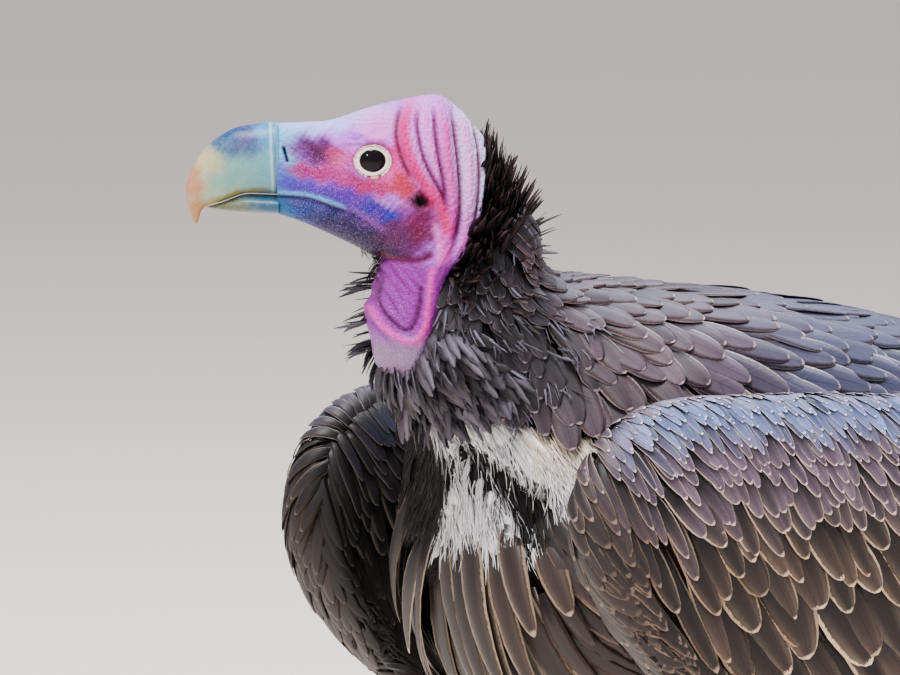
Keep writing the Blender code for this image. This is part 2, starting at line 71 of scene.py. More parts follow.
camera = bpy.data.objects.new("camera", lens)
camera.location = AIM + AWAY * 5.0
camera.rotation_euler = Vector(-AWAY).to_track_quat("-Z", "Y").to_euler()
bpy.context.scene.collection.objects.link(camera)
bpy.context.scene.camera = camera

# ================================================================ floor and light
# A wide pale floor, and a soft studio light: one large lamp overhead on the camera's left, a weaker
# one behind the bird for the sheen on its back, a small one for the glint in its eye, and a pale room.


def new_look(name):
    """A new material and its Principled shader. The nodes and links worked on next are its own."""
    global nodes, links
    made = bpy.data.materials.new(name)
    made.use_nodes = True
    nodes, links = made.node_tree.nodes, made.node_tree.links
    return made, nodes["Principled BSDF"]


floor_look, shader = new_look("pale_floor")
shader.inputs["Base Color"].default_value = (0.93, 0.82, 0.72, 1)
shader.inputs["Roughness"].default_value = 0.9
floor_mesh = bpy.data.meshes.new("floor")
floor_mesh.from_pydata([(-60, -60, 0), (60, -60, 0), (60, 60, 0), (-60, 60, 0)], [], [(0, 1, 2, 3)])
floor_mesh.materials.append(floor_look)
floor = bpy.data.objects.new("floor", floor_mesh)
bpy.context.scene.collection.objects.link(floor)
floor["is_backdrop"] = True


def lamp(name, offset, size, power, colour):
    """An area lamp at AIM plus the offset, aimed at AIM."""
    data = bpy.data.lights.new(name, "AREA")
    data.shape, data.size, data.energy, data.color = "DISK", size, power, colour
    made = bpy.data.objects.new(name, data)
    made.location = AIM + np.array(offset)
    made.rotation_euler = Vector(-np.array(offset)).to_track_quat("-Z", "Y").to_euler()
    bpy.context.scene.collection.objects.link(made)


lamp("overhead_lamp", (0.6, -1.1, 3.8), 2.0, 460, (1.0, 0.98, 0.96))
lamp("back_lamp", (-1.3, 1.7, 2.6), 1.6, 110, (0.72, 0.84, 1.0))
room = bpy.data.worlds.new("pale_room")
room.use_nodes = True
room.node_tree.nodes["Background"].inputs["Color"].default_value = (0.90, 0.92, 1.0, 1)
room.node_tree.nodes["Background"].inputs["Strength"].default_value = 0.70
bpy.context.scene.world = room
leftward = np.cross(AWAY, (0, 0, 1))
lamp("eye_lamp", 1.3 * (0.52 * leftward + 0.73 * AWAY) + (0, 0, 0.64), 0.14, 7, (1.0, 1.0, 1.0))

# ================================================================ skin
# The bird's bare and feathered skin in one closed surface, from the base of the bill to the root of
# the tail, with wings, thighs, shanks and feet joined on. The feathered parts lie deeper by the
# coat's depth. Folds, lids, ear, gape and scales are raised or sunk on it by formulas.
EYE_Y, EYE_Z, EYE_OUT, EYE_RADIUS = -0.2155, 0.610, 0.0225, 0.0115
HEAD_TURN, TURN_PIVOT_Y = math.radians(32.0), -0.176
HEAD_Y = -0.218  # the head's own measures count from here
SECTIONS = np.array((  # top (y, z), bottom (y, z), half width, fullness, share of the head's turn
    (-0.2720, 0.6300, -0.2720, 0.5760, 0.0155, 2.2, 1.00),
    (-0.2560, 0.6305, -0.2570, 0.5710, 0.0185, 2.2, 1.00),
    (-0.2390, 0.6320, -0.2410, 0.5640, 0.0245, 2.2, 1.00),
    (-0.2180, 0.6390, -0.2230, 0.5555, 0.0325, 2.3, 1.00),
    (-0.1960, 0.6440, -0.2170, 0.5520, 0.0375, 2.3, 1.00),
    (-0.1750, 0.6460, -0.2110, 0.5500, 0.0405, 2.3, 1.00),
    (-0.1590, 0.6330, -0.2125, 0.5430, 0.0420, 2.2, 0.96),
    (-0.1430, 0.6140, -0.2160, 0.5300, 0.0430, 2.1, 0.86),
    (-0.1270, 0.5930, -0.2190, 0.5140, 0.0450, 2.0, 0.70),
    (-0.1165, 0.5710, -0.2160, 0.4980, 0.0490, 2.0, 0.50),
    (-0.1130, 0.5490, -0.2110, 0.4820, 0.0560, 2.0, 0.30),
    (-0.0980, 0.5370, -0.1940, 0.4620, 0.0620, 2.0, 0.14),
    (-0.0740, 0.5335, -0.1790, 0.4300, 0.0760, 2.1, 0.04),
    (-0.0430, 0.5300, -0.1730, 0.3830, 0.0970, 2.3, 0.00),
    (-0.0100, 0.5250, -0.1660, 0.3290, 0.1180, 2.4, 0.00),
    (0.0400, 0.5180, -0.1360, 0.2800, 0.1280, 2.4, 0.00),
    (0.1000, 0.5080, -0.0600, 0.2550, 0.1260, 2.3, 0.00),
    (0.1600, 0.4940, 0.0550, 0.2660, 0.1140, 2.2, 0.00),
    (0.2150, 0.4740, 0.1420, 0.2900, 0.0930, 2.1, 0.00),
    (0.2650, 0.4490, 0.2180, 0.3290, 0.0680, 2.0, 0.00),
    (0.3080, 0.4240, 0.2880, 0.3680, 0.0500, 2.0, 0.00),
    (0.3620, 0.3960, 0.3570, 0.3710, 0.0560, 2.0, 0.00),
))
SIDES = (("left", 1), ("right", -1))
chance = np.random.default_rng(20)


def smooth_rows(rows, at):
    """A table's rows read between its lines, on a Catmull-Rom curve through them."""
    at = np.clip(np.asarray(at, float), 0, len(rows) - 1)
    i = np.minimum(at.astype(int), len(rows) - 2)
    t = (at - i)[..., None]
    p0, p1 = rows[np.maximum(i - 1, 0)], rows[i]
    p2, p3 = rows[i + 1], rows[np.minimum(i + 2, len(rows) - 1)]
    return 0.5 * (2 * p1 + (p2 - p0) * t + (2 * p0 - 5 * p1 + 4 * p2 - p3) * t**2
                  + (3 * p1 - p0 - 3 * p2 + p3) * t**3)


def eased(share):
    """0 below 0, 1 above 1, and 3t^2 - 2t^3 between."""
    share = np.clip(share, 0, 1)
    return share * share * (3 - 2 * share)


def turn_of(points, share):
    """Points turned about the neck's upright axis by a share of the head's turn."""
    angle = HEAD_TURN * np.asarray(share)
    x, y = points[..., 0], points[..., 1] - TURN_PIVOT_Y
    return np.stack([x * np.cos(angle) + y * np.sin(angle),
                     y * np.cos(angle) - x * np.sin(angle) + TURN_PIVOT_Y, points[..., 2]], -1)


SHIFT = np.array((0, EYES[1] - turn_of(np.array((0, EYE_Y, EYE_Z)), 1.0)[1], 0))


def unturned(s, v, out=0.0):
    """The body's surface with its head straight. s counts the cross-sections from the bill, v is the
    angle round one of them from its top over the bird's left, each is a superellipse grown by out."""
    row = smooth_rows(SECTIONS, s)
    top_y, top_z, low_y, low_z, half, full, share = (row[..., c] for c in range(7))
    up_y, up_z = (top_y - low_y) / 2, (top_z - low_z) / 2
    tall = np.hypot(up_y, up_z)
    sine, cosine = np.sin(v), np.cos(v)
    across = np.sign(sine) * np.abs(sine) ** (2 / full) * (half + out)
    along = np.sign(cosine) * np.abs(cosine) ** (2 / full) * (1 + out / tall)
    y, z = (top_y + low_y) / 2 + along * up_y, (top_z + low_z) / 2 + along * up_z
    return np.stack([across, y, z], -1), share


def body(s, v, out=0.0):
    """The body's surface in place, with the neck turned."""
    points, share = unturned(s, v, out)
    return turn_of(points, share) + SHIFT


def unit(vectors):
    """The vectors, each of length one."""
    return vectors / np.maximum(np.linalg.norm(vectors, axis=-1, keepdims=True), 1e-12)


def off_line(f, u, line):
    """Distance in the side view from points (f, u) to a smooth line through the given places, and the
    share of the line where it is nearest."""
    knots = smooth_rows(np.array(line, float), np.linspace(0, len(line) - 1, 8 * len(line)))
    a, b = knots[:-1], knots[1:]
    d = b - a
    best, share = np.full(f.shape, 1e9), np.zeros(f.shape)
    for k in range(len(a)):
        t = np.clip(((f - a[k, 0]) * d[k, 0] + (u - a[k, 1]) * d[k, 1]) / (d[k] @ d[k]), 0, 1)
        gone = np.hypot(f - a[k, 0] - t * d[k, 0], u - a[k, 1] - t * d[k, 1])
        near = gone < best
        best, share = np.where(near, gone, best), np.where(near, (k + t) / len(a), share)
    return best, share


# Folds of the head's skin: side-view lines in millimetres ahead of and above the eye, then height
# and half width. A negative height is a groove.
FOLDS = (
    (((-26, 34), (-22, 24), (-21.5, 14), (-25, 2), (-30.5, -9), (-36.5, -18), (-40.5, -28), (-42, -40)), 3.0, 3.0),
    (((-41, 34), (-44, 20), (-45, 6), (-46.5, -12), (-46.5, -27), (-43, -42), (-38.5, -57), (-34, -70)), 3.2, 3.2),
    (((-53, 29), (-56.5, 13), (-58, -7), (-55, -27), (-50, -45), (-43, -60)), 2.0, 3.2),
    (((-34, 34), (-34.5, 22), (-36, 10), (-38.5, -3), (-41, -14)), 1.8, 1.8),
    (((-36, -35), (-37, -47), (-35, -59), (-31, -71)), 1.7, 1.7),
    (((-30, 32), (-28.5, 24), (-29.5, 14), (-32.5, 2), (-37, -9), (-42, -20), (-44, -34)), -2.6, 1.2),
    (((-38.5, 33), (-39.5, 18), (-41, 3), (-42.8, -12), (-43.2, -26)), -2.2, 1.1),
    (((-49, 32), (-51, 16), (-52, 0), (-51.5, -18), (-48.5, -36), (-43, -52)), -2.2, 1.3),
    (((-61, 24), (-64, 8), (-63, -12), (-58, -34), (-50, -52)), -1.4, 1.1),
    (((-19.5, 33), (-16.5, 22), (-16.5, 12), (-20, 0), (-26, -11)), -1.5, 1.5),
    (((11, 17), (4, 15.2), (-5, 13.6), (-12, 13.0)), 1.3, 2.0),
    (((12, 12), (6, 11.9), (-4, 10.9), (-11, 10.4)), -0.9, 0.9),
    (((59, -22.5), (37, -24), (22, -28.5), (11, -32), (-2, -38)), -1.2, 0.9),
    (((57, -20.2), (37, -21.4), (22, -25.6), (12, -29)), 0.8, 1.0),
    (((50, -26), (37, -27.2), (22, -31.6), (9, -36)), 0.7, 1.0),
    (((-4, -66), (-1, -76), (1.6, -84), (-1, -91), (-4.5, -99), (-10, -105), (-15.5, -107), (-20.5, -101),
      (-24.5, -90), (-28, -76), (-31, -64)), 2.6, 1.6),
    (((-7, -70), (-4, -80), (-4, -88), (-8, -96), (-13, -100), (-17, -96), (-21, -86), (-24, -74)), -1.3, 1.2),
    (((-5, -62), (-10, -72), (-15, -84)), -1.0, 0.9),
    (((-10, -61), (-15, -71), (-20, -82)), -1.0, 0.9),
    (((-3, -68), (-7, -79), (-11, -91)), -1.0, 0.9),
    (((-15, -60), (-20, -69), (-24, -78)), -0.9, 0.9),
    (((-20, -59), (-24, -66), (-27, -73)), -0.8, 0.9),
    (((-3, -57), (-14, -58.5), (-26, -58), (-34, -53)), -1.8, 2.2),
)
RIM, RIM_GROOVE = 15, 16
EAR = (-30.8, -23.5)
NOSTRIL = ((50.2, 6.4), (49.4, 3.0), (48.2, -1.2))


def from_eye(points):
    """Millimetres ahead of and above the eye in the side view, with the head straight."""
    return (HEAD_Y - points[..., 1]) * 1000, (points[..., 2] - EYE_Z) * 1000


def round_angles(count):
    """Evenly spaced angles round a closed ring."""
    return np.linspace(0, 2 * math.pi, count, endpoint=False)


def relief(points):
    """How far the skin stands out, in metres: folds as bells across their lines, a bowl for the ear,
    a slit for the nostril, a fine wrinkling in waves along the crown and the back of the head."""
    f, u = from_eye(points)
    high = np.zeros(f.shape)
    for line, height, half in FOLDS:
        gone, share = off_line(f, u, line)
        ends = np.clip(np.sin(math.pi * np.clip(share, 0.02, 0.98)) * 2.2, 0, 1)
        high += height * ends * np.exp(-((gone / half) ** 2))
    high -= 4.5 * np.exp(-(((f - EAR[0]) / 2.4) ** 2 + ((u - EAR[1]) / 3.3) ** 2) ** 2)
    ring = np.hypot((f - EAR[0]) / 1.0, (u - EAR[1]) / 1.35)
    high += 1.1 * np.exp(-(((ring - 4.6) / 1.3) ** 2))
    slit, _ = off_line(f, u, NOSTRIL)
    high -= 2.6 * np.exp(-((slit / 1.0) ** 4))
    behind = eased((-14 - f) / 14) * eased((u + 70) / 20)
    wave = f + 3.5 * np.sin(u / 9.0) + 1.6 * np.sin(u / 4.3 + f / 7)
    high += behind * (0.30 * np.sin(wave * 2.1) + 0.16 * np.sin(wave * 4.3 + u / 5))
    crown = eased((u - 17) / 6) * (1 - eased((-14 - f) / 10))
    high += crown * 0.22 * np.sin(u * 2.4 + 1.7 * np.sin(f / 6))
    cheek = eased((-18 - u) / 8) * eased((u + 62) / 10) * eased((22 - f) / 12)
    high += cheek * 0.20 * np.sin(f * 1.1 + u * 1.3 + 2 * np.sin(u / 6 - f / 8))
    throat = eased((-56 - u) / 10)
    high += throat * 0.35 * np.sin(f * 1.3 - u * 0.7 + 1.6 * np.sin(u / 4.5) + np.sin(f / 2.3))
    return high / 1000


def bare_edge(up):
    """Where the bare skin ends and the ruff begins: millimetres ahead of the eye for each height."""
    return np.interp(up, (-150, -138, -127, -118, -110, -104, -89, -75, -68, -56, -38, -14, 10, 34, 40),
                     (-10, -12, -13, -14, -17, -20, -26, -31, -34, -45, -58, -65, -68, -64, -60))


def feathered(s, v):
    """1 where the skin carries feathers, 0 where it is bare, from its place in the side view."""
    f, u = from_eye(unturned(s, v)[0])
    front = eased((bare_edge(u) - f) / 7)
    return np.where(u < -172, 1.0, front)


def coat_depth(s):
    """How deep the skin lies under the coat's surface at each cross-section."""
    return np.interp(s, (5.5, 6.5, 8.5, 10, 12, 14, 17, 20, 21),
                     (0.002, 0.006, 0.013, 0.014, 0.012, 0.013, 0.013, 0.010, 0.006))


CROP = ((0.018, 0.438), (0.037, 0.425), (0.054, 0.412), (0.070, 0.396))


def crop_share(p):
    """How far a place lies in the dark dip of the crop, seen from in front: 1 in the middle, 0 outside.
    It lies on one side, as the neck is turned, and widens downwards."""
    gone, share_ = off_line(p[..., 0], p[..., 2], CROP)
    inside = 1 - eased((gone / (0.0036 + 0.0120 * share_**0.7) - 0.70) / 0.5)
    return inside * (p[..., 1] < -0.08)


def dips(s, v):
    """How much deeper than its outline the body lies, in metres: in the crop's dip, and where the far
    side of the breast draws in beside the wing."""
    p = unturned(s, v)[0]
    far = np.exp(-(((p[..., 0] + 0.034) / 0.030) ** 4) - ((p[..., 2] - 0.420) / 0.045) ** 4) * (p[..., 1] < -0.08)
    return 0.007 * crop_share(p) + 0.011 * far


def grid_faces(rows, columns, closed=False):
    """Quads between closed rings, as corner numbers. Where it is closed, the last ring meets the first."""
    at = np.arange(rows * columns).reshape(rows, columns)
    at = np.append(at, at[:1], 0) if closed else at
    a, b = at[:-1], at[1:]
    return np.stack([a, b, np.roll(b, -1, 1), np.roll(a, -1, 1)], -1).reshape(-1, 4)


def add_mesh(name, points, faces, look=None):
    """A smooth object from points and lists of corner numbers."""
    mesh = bpy.data.meshes.new(name)
    mesh.from_pydata(np.asarray(points).tolist(), [], faces)
    mesh.polygons.foreach_set("use_smooth", np.full(len(mesh.polygons), True))
    if look:
        mesh.materials.append(look)
    made = bpy.data.objects.new(name, mesh)
    bpy.context.scene.collection.objects.link(made)
    return made


def tube(name, rings, look=None):
    """A closed tube through the rings, with a fan to the middle of each end ring."""
    rows, columns = rings.shape[:2]
    faces = grid_faces(rows, columns)
    first, last = np.arange(columns), np.arange(columns) + (rows - 1) * columns
    head, tail = np.full(columns, rows * columns), np.full(columns, rows * columns + 1)
    caps = [np.stack([first, np.roll(first, -1), head], -1), np.stack([np.roll(last, -1), last, tail], -1)]
    points = np.concatenate([rings.reshape(-1, 3), rings[:1].mean(1), rings[-1:].mean(1)])
    made = add_mesh(name, points, faces.tolist() + caps[0].tolist() + caps[1].tolist(), look)
    facing_out(made)
    return made


def facing_out(made):
    """Turns every face round if the closed mesh encloses a negative volume."""
    mesh = made.data
    mesh.calc_loop_triangles()
    points = np.empty(len(mesh.vertices) * 3)
    corners = np.empty(len(mesh.loop_triangles) * 3, np.int32)
    mesh.vertices.foreach_get("co", points)
    mesh.loop_triangles.foreach_get("vertices", corners)
    a, b, c = (points.reshape(-1, 3)[corners.reshape(-1, 3)[:, k]] for k in range(3))
    if np.einsum("ij,ij->i", a, np.cross(b, c)).sum() < 0:
        mesh.flip_normals()


s = np.concatenate([np.linspace(0, 9.5, 226), np.linspace(9.5, 21, 40)[1:]])[:, None]
v = round_angles(264)[None]
points, share = unturned(s, v, -feathered(s, v) * coat_depth(s) - dips(s, v))
normal = unit(np.cross(np.gradient(points, axis=0), np.roll(points, -1, 1) - np.roll(points, 1, 1)))
normal *= np.sign(np.sum(normal * (points - points.mean(1, keepdims=True)), -1, keepdims=True).mean())
lift = relief(points) * (1 - eased((s - 9.0) / 1.4)) * eased(np.abs(np.sin(v)) * 6) * eased((s - 0.05) * 6)
ahead, above = from_eye(points)
rho = np.hypot((ahead + 2.5) / 1.06, above / 0.94)
lift *= eased((rho - 9) / 5)
points = points + normal * lift[..., None]
# Behind each eye the skin follows a ball just inside the eyeball, and outside it comes to the lid.
deep = EYE_OUT + np.sqrt(np.maximum((EYE_RADIUS * 1000 - 1.2) ** 2 - np.minimum(rho, 7.7) ** 2, 0)) / 1000
lid = EYE_OUT + 0.0088 + 0.0015 * eased((rho - 7.6) / 5)
socket = np.where(rho < 7.8, deep, lid)
near = 1 - eased((rho - 10.5) / 5)
x = points[..., 0]
points[..., 0] = np.where(s < 6, x + np.sign(x) * near * (socket - np.abs(x)) * (np.abs(x) > 0.012), x)
skin = tube("skin", turn_of(points, share) + SHIFT)


def carry(target, name, values):
    """Stores one number or colour for each point."""
    kind = "FLOAT_COLOR" if values.ndim == 2 else "FLOAT"
    layer = target.data.attributes.new(name, kind, "POINT")
    if kind == "FLOAT_COLOR":
        values = np.concatenate([values, np.ones((len(values), 1))], 1)
    layer.data.foreach_set("color" if kind == "FLOAT_COLOR" else "value", values.astype(np.float32).ravel())


def join_to(target, other):
    """Makes one closed surface of two that overlap."""
    step = target.modifiers.new("join", "BOOLEAN")
    step.operation, step.object, step.solver = "UNION", other, "MANIFOLD"
    graph = bpy.context.evaluated_depsgraph_get()
    made = bpy.data.meshes.new_from_object(target.evaluated_get(graph), depsgraph=graph)
    target.modifiers.clear()
    target.data = made
    bpy.data.objects.remove(other)


def mark(made, ahead, above, coat):
    """Stores each point's place in the head's side view, and 1 where feathers cover it. The limbs get
    places far outside the head: LIMB ahead of it, and WING or LEG_MARK above it."""
    for title, values in (("fwd", ahead), ("high", above), ("coat", coat)):
        carry(made, title, np.broadcast_to(values, len(made.data.vertices)))


def with_ends(grid):
    """A tube's values for its points: those of its rings, then the mean of each end ring."""
    return np.append(grid.ravel(), (grid[0].mean(), grid[-1].mean()))


LIMB, WING, LEG_MARK = -300.0, -300.0, -400.0
mark(skin, with_ends(ahead), with_ends(above), np.append(feathered(s, v).ravel(), (0, 1)))


def tube_rings(path, radius_a, radius_b, columns, reference):
    """Rings square to a path. radius_a lies along the reference direction, radius_b across it."""
    tangent = unit(np.gradient(path, axis=0))
    reference = np.asarray(reference, float)
    first = unit(reference - tangent * (tangent @ reference)[:, None])
    second = np.cross(tangent, first)
    turn = round_angles(columns)[None, :, None]
    a = np.broadcast_to(radius_a, len(path))[:, None, None]
    b = np.broadcast_to(radius_b, len(path))[:, None, None]
    return path[:, None] + first[:, None] * np.cos(turn) * a + second[:, None] * np.sin(turn) * b


LEAD_LINE = np.array(((0.165, 0.440), (0.120, 0.459), (0.030, 0.466), (-0.060, 0.471), (-0.128, 0.470),
                      (-0.166, 0.446), (-0.1765, 0.406), (-0.165, 0.366), (-0.134, 0.324), (-0.092, 0.286)))
HAND_START, HAND_END = 5.55, 9.0


def sheet_x(y, z):
    """The wing's bowed sheet: 158 mm from the middle, flared below, bent in at the wrist and tail."""
    down = np.clip((0.472 - z) / 0.33, 0, 1.4)
    front = np.clip((-0.10 - y) / 0.10, 0, 1.3)
    back = np.clip((y - 0.10) / 0.36, 0, 1.3)
    return 0.158 + 0.010 * np.sin(down * 2.0) - 0.016 * front**2 - 0.075 * back**1.3


def sheet_point(y, z, out, side):
    """A point of the wing's sheet moved out along its normal, for the left (1) or right (-1) wing."""
    step = 0.001
    x = sheet_x(y, z)
    slope_y = (sheet_x(y + step, z) - sheet_x(y - step, z)) / (2 * step)
    slope_z = (sheet_x(y, z + step) - sheet_x(y, z - step)) / (2 * step)
    normal = unit(np.stack([np.ones_like(x), -slope_y, -slope_z], -1))
    point = np.stack([x, y, z - (side < 0) * 0.020], -1) + normal * np.asarray(out)[..., None]
    return point * (side, 1, 1) + SHIFT


def lean_of(s):
    """A feather's lean from upright: 72 degrees at the elbow, 24 on the forearm, 60 at the hand's end."""
    low, arm, high = math.radians(72), math.radians(24), math.radians(60)
    return arm + (high - arm) * eased((s - 3.2) / 5.8) + (low - arm) * np.clip(1 - s / 2.6, 0, 1) ** 1.5


def down_wing(s, reach):
    """Side-view place that lies reach down the feather rooted at s on the leading edge."""
    root, lean = smooth_rows(LEAD_LINE, s), lean_of(s)
    return root[..., 0] + reach * np.sin(lean), root[..., 1] - reach * np.cos(lean)


def coverts_depth(s):
    """How far down the wing its small feathers reach."""
    return 0.165 - 0.127 * eased((s - 4) / 5)


def arm_half(share):
    """Half the thickness of the arm under its coverts, for shares of their depth."""
    return np.interp(share, (0, 0.03, 0.12, 0.30, 0.60, 1.0), (0.001, 0.0115, 0.0200, 0.0220, 0.0155, 0.0085))


def slimmer(s):
    """The thickness of the wing as a share, falling over its last stretch."""
    return 1 - 0.62 * eased((s - 7.4) / 1.6)


def upper_arm_level(x, side):
    """The height of the upper arm's middle, which slopes outwards, and more on the right side."""
    return 0.442 - 0.10 * (x - 0.075) - (side < 0) * 0.020 * np.clip((x - 0.075) / 0.083, 0, 1)


s_arm = np.linspace(0.1, 8.9, 60)
shares = np.linspace(0.03, 0.9, 12)
for side in (1, -1):
    rings = []
    for t, face in [*zip(shares, np.ones(12)), *zip(shares[::-1], -np.ones(12))]:
        y, z = down_wing(s_arm, t * coverts_depth(s_arm))
        rings.append(sheet_point(y, z, face * max(arm_half(t) - 0.006, 0.002) * slimmer(s_arm), side))
    arm = tube("arm", np.stack(rings, 1))
    x = np.linspace(0.070, 0.160, 8)
    path = np.stack([x, 0.025 + 0 * x, upper_arm_level(x, side)], -1) * (side, 1, 1) + SHIFT
    join_to(arm, tube("bridge", tube_rings(path, 0.112, np.linspace(0.024, 0.012, 8), 28, (0, 1, 0))))
    mark(arm, LIMB, WING, 1.0)
    join_to(skin, arm)

FOOT_X, FOOT_Y = 0.078, 0.030  # where each foot stands
# Thigh and shank are one tube of level rings: middle x, y, z and radii along x and y.
LEG = np.array((
    (0.074, 0.030, 0.345, 0.030, 0.056), (0.078, 0.034, 0.285, 0.036, 0.060), (0.080, 0.044, 0.245, 0.033, 0.052),
    (0.078, 0.056, 0.212, 0.024, 0.036), (0.078, 0.067, 0.186, 0.0150, 0.0200), (0.078, 0.075, 0.168, 0.0125, 0.0150),
    (0.078, 0.071, 0.150, 0.0120, 0.0135), (0.078, 0.054, 0.105, 0.0092, 0.0108),
    (0.078, 0.040, 0.060, 0.0098, 0.0112), (0.078, 0.032, 0.034, 0.0125, 0.0125),
    (FOOT_X, FOOT_Y, 0.018, 0.0175, 0.0175), (FOOT_X, FOOT_Y, 0.006, 0.0175, 0.0175)))
TOES = (  # name, heading in degrees from straight ahead, length, half width, length of its claw
    ("middle", 4, 0.104, 0.0092, 0.030), ("inner", -34, 0.066, 0.0092, 0.030),
    ("outer", 36, 0.080, 0.0085, 0.025), ("hind", 188, 0.046, 0.0085, 0.030))


def toe_path(side, heading, long, half, count):
    """A toe's centreline, its radius and the way it points. The radius swells at each joint."""
    angle = math.radians(heading) * side
    ahead = np.array((math.sin(angle), -math.cos(angle), 0.0))
    t = np.linspace(0, 1, count)
    joints = round(long / 0.030)
    radius = half * (1 - 0.22 * t) * (1 + 0.10 * np.cos(t * 2 * math.pi * joints))
    path = np.array((side * FOOT_X, FOOT_Y, 0.0)) + ahead * (t * long)[:, None] + SHIFT
    path[:, 2] = radius - 0.0022 + 0.006 * np.sin(t * math.pi) * (1 - t) + 0.006 * (1 - t) ** 3
    return path, radius, ahead, t


def scales(along, pitch):
    """The height of scales as a share of their depth: a sawtooth of the given pitch along the limb."""
    return 0.5 - (along / pitch) % 1.0


for side in (1, -1):
    levels = smooth_rows(LEG, np.linspace(0, len(LEG) - 1, 150))[:, None]
    turn = round_angles(40)[None]
    bare_front = eased(-np.sin(turn) * 2) * eased((0.185 - levels[..., 2]) / 0.02)
    plates = 0.0009 * bare_front * scales(levels[..., 2], 0.0062)
    x = levels[..., 0] + (levels[..., 3] + plates) * np.cos(turn)
    y = levels[..., 1] + (levels[..., 4] + plates) * np.sin(turn)
    leg = tube("leg", np.stack([x, y, levels[..., 2] + 0 * turn], -1) * (side, 1, 1) + SHIFT)
    for _, heading, long, half, _ in TOES:
        path, radius, ahead, t = toe_path(side, heading, long, half, 60)
        round_toe = round_angles(24)[None]
        top = eased((np.cos(round_toe) - 0.2) * 2)
        wide = radius[:, None] + 0.0009 * top * scales((t * long)[:, None], 0.0052)
        rings = (path[:, None] + np.array((0, 0, 1.0)) * (np.cos(round_toe) * wide)[..., None]
                 + np.cross(ahead, (0, 0, 1)) * (np.sin(round_toe) * wide * 0.92)[..., None])
        rings[..., 2] = np.maximum(rings[..., 2], 0.0)
        join_to(leg, tube("toe", rings))
    mark(leg, LIMB, LEG_MARK, 0.5)
    join_to(skin, leg)


def rgb(red, green, blue):
    """A colour given in display values from 0 to 255, as linear light."""
    return (np.array((red, green, blue)) / 255.0) ** 2.2


def vivid(red, green, blue):
    """The same, further from grey and deeper the further from grey it is: strong colours fade in light."""
    light = rgb(red, green, blue)
    strong = (light.max() - light.min()) / light.max()
    return np.clip((light + 0.72 * (light - light.mean())) * (1 - 0.62 * strong), 0.002, 0.95)


# Lids: a soft ring round each eye, sunk into the skin. Its upper part is flattened by the brow.
turn, section = round_angles(96), round_angles(20)[None]
for side in (1, -1):
    ring_f = -2.5 + 8.9 * np.cos(turn)
    ring_u = 7.9 * np.sin(turn) - 0.6 * np.clip(np.sin(turn), 0, 1) ** 3
    path = np.stack([np.full(96, (EYE_OUT + 0.0083) * side), HEAD_Y - ring_f / 1000, EYE_Z + ring_u / 1000], -1)
    outward = np.stack([0 * turn, -np.cos(turn), np.sin(turn)], -1)
    thick = 0.0014 + 0.0003 * np.clip(-np.sin(turn), 0, 1)
    rings = (path[:, None] + outward[:, None] * (np.cos(section) * thick[:, None])[..., None]
             + np.array((side, 0, 0)) * (np.sin(section) * thick[:, None] * 0.85)[..., None])
    rings = rings.reshape(-1, 3)
    lid_ring = add_mesh("lid", turn_of(rings, 1.0) + SHIFT, grid_faces(96, 20, closed=True).tolist())
    facing_out(lid_ring)
    mark(lid_ring, *from_eye(rings), 0.0)
    join_to(skin, lid_ring)


def read(made, name):
    """One stored number for each point."""
    values = np.empty(len(made.data.vertices), np.float32)
    made.data.attributes[name].data.foreach_get("value", values)
    return values.astype(float)


def blobs(f, u, base, patches, uneven=1.0):
    """The base colour with oval patches laid over it in turn: each has a middle, two radii, a turn in
    degrees, a colour and a strength, and fades as exp(-d^4.4). Waves make their borders uneven."""
    colour = np.repeat(base[None], len(f), 0)
    f, u = (f + uneven * (1.5 * np.sin(u * 0.55 + 1.7 * np.sin(f * 0.31)) + 0.8 * np.sin(u * 1.6 - f * 1.1)
                          + 0.5 * np.sin(u * 3.3 + f * 2.4)),
            u + uneven * (1.2 * np.sin(f * 0.47 + 1.3 * np.sin(u * 0.37)) + 0.7 * np.sin(f * 1.5 + u * 1.2)
                          + 0.4 * np.sin(f * 3.1 - u * 2.7)))
    for f0, u0, rf, ru, degrees, patch, strength in patches:
        c, s_ = math.cos(math.radians(degrees)), math.sin(math.radians(degrees))
        a, b = ((f - f0) * c + (u - u0) * s_) / rf, ((u - u0) * c - (f - f0) * s_) / ru
        share = strength * np.exp(-((a * a + b * b) ** 2.2))[:, None]
        colour = colour * (1 - share) + patch * share
    return colour


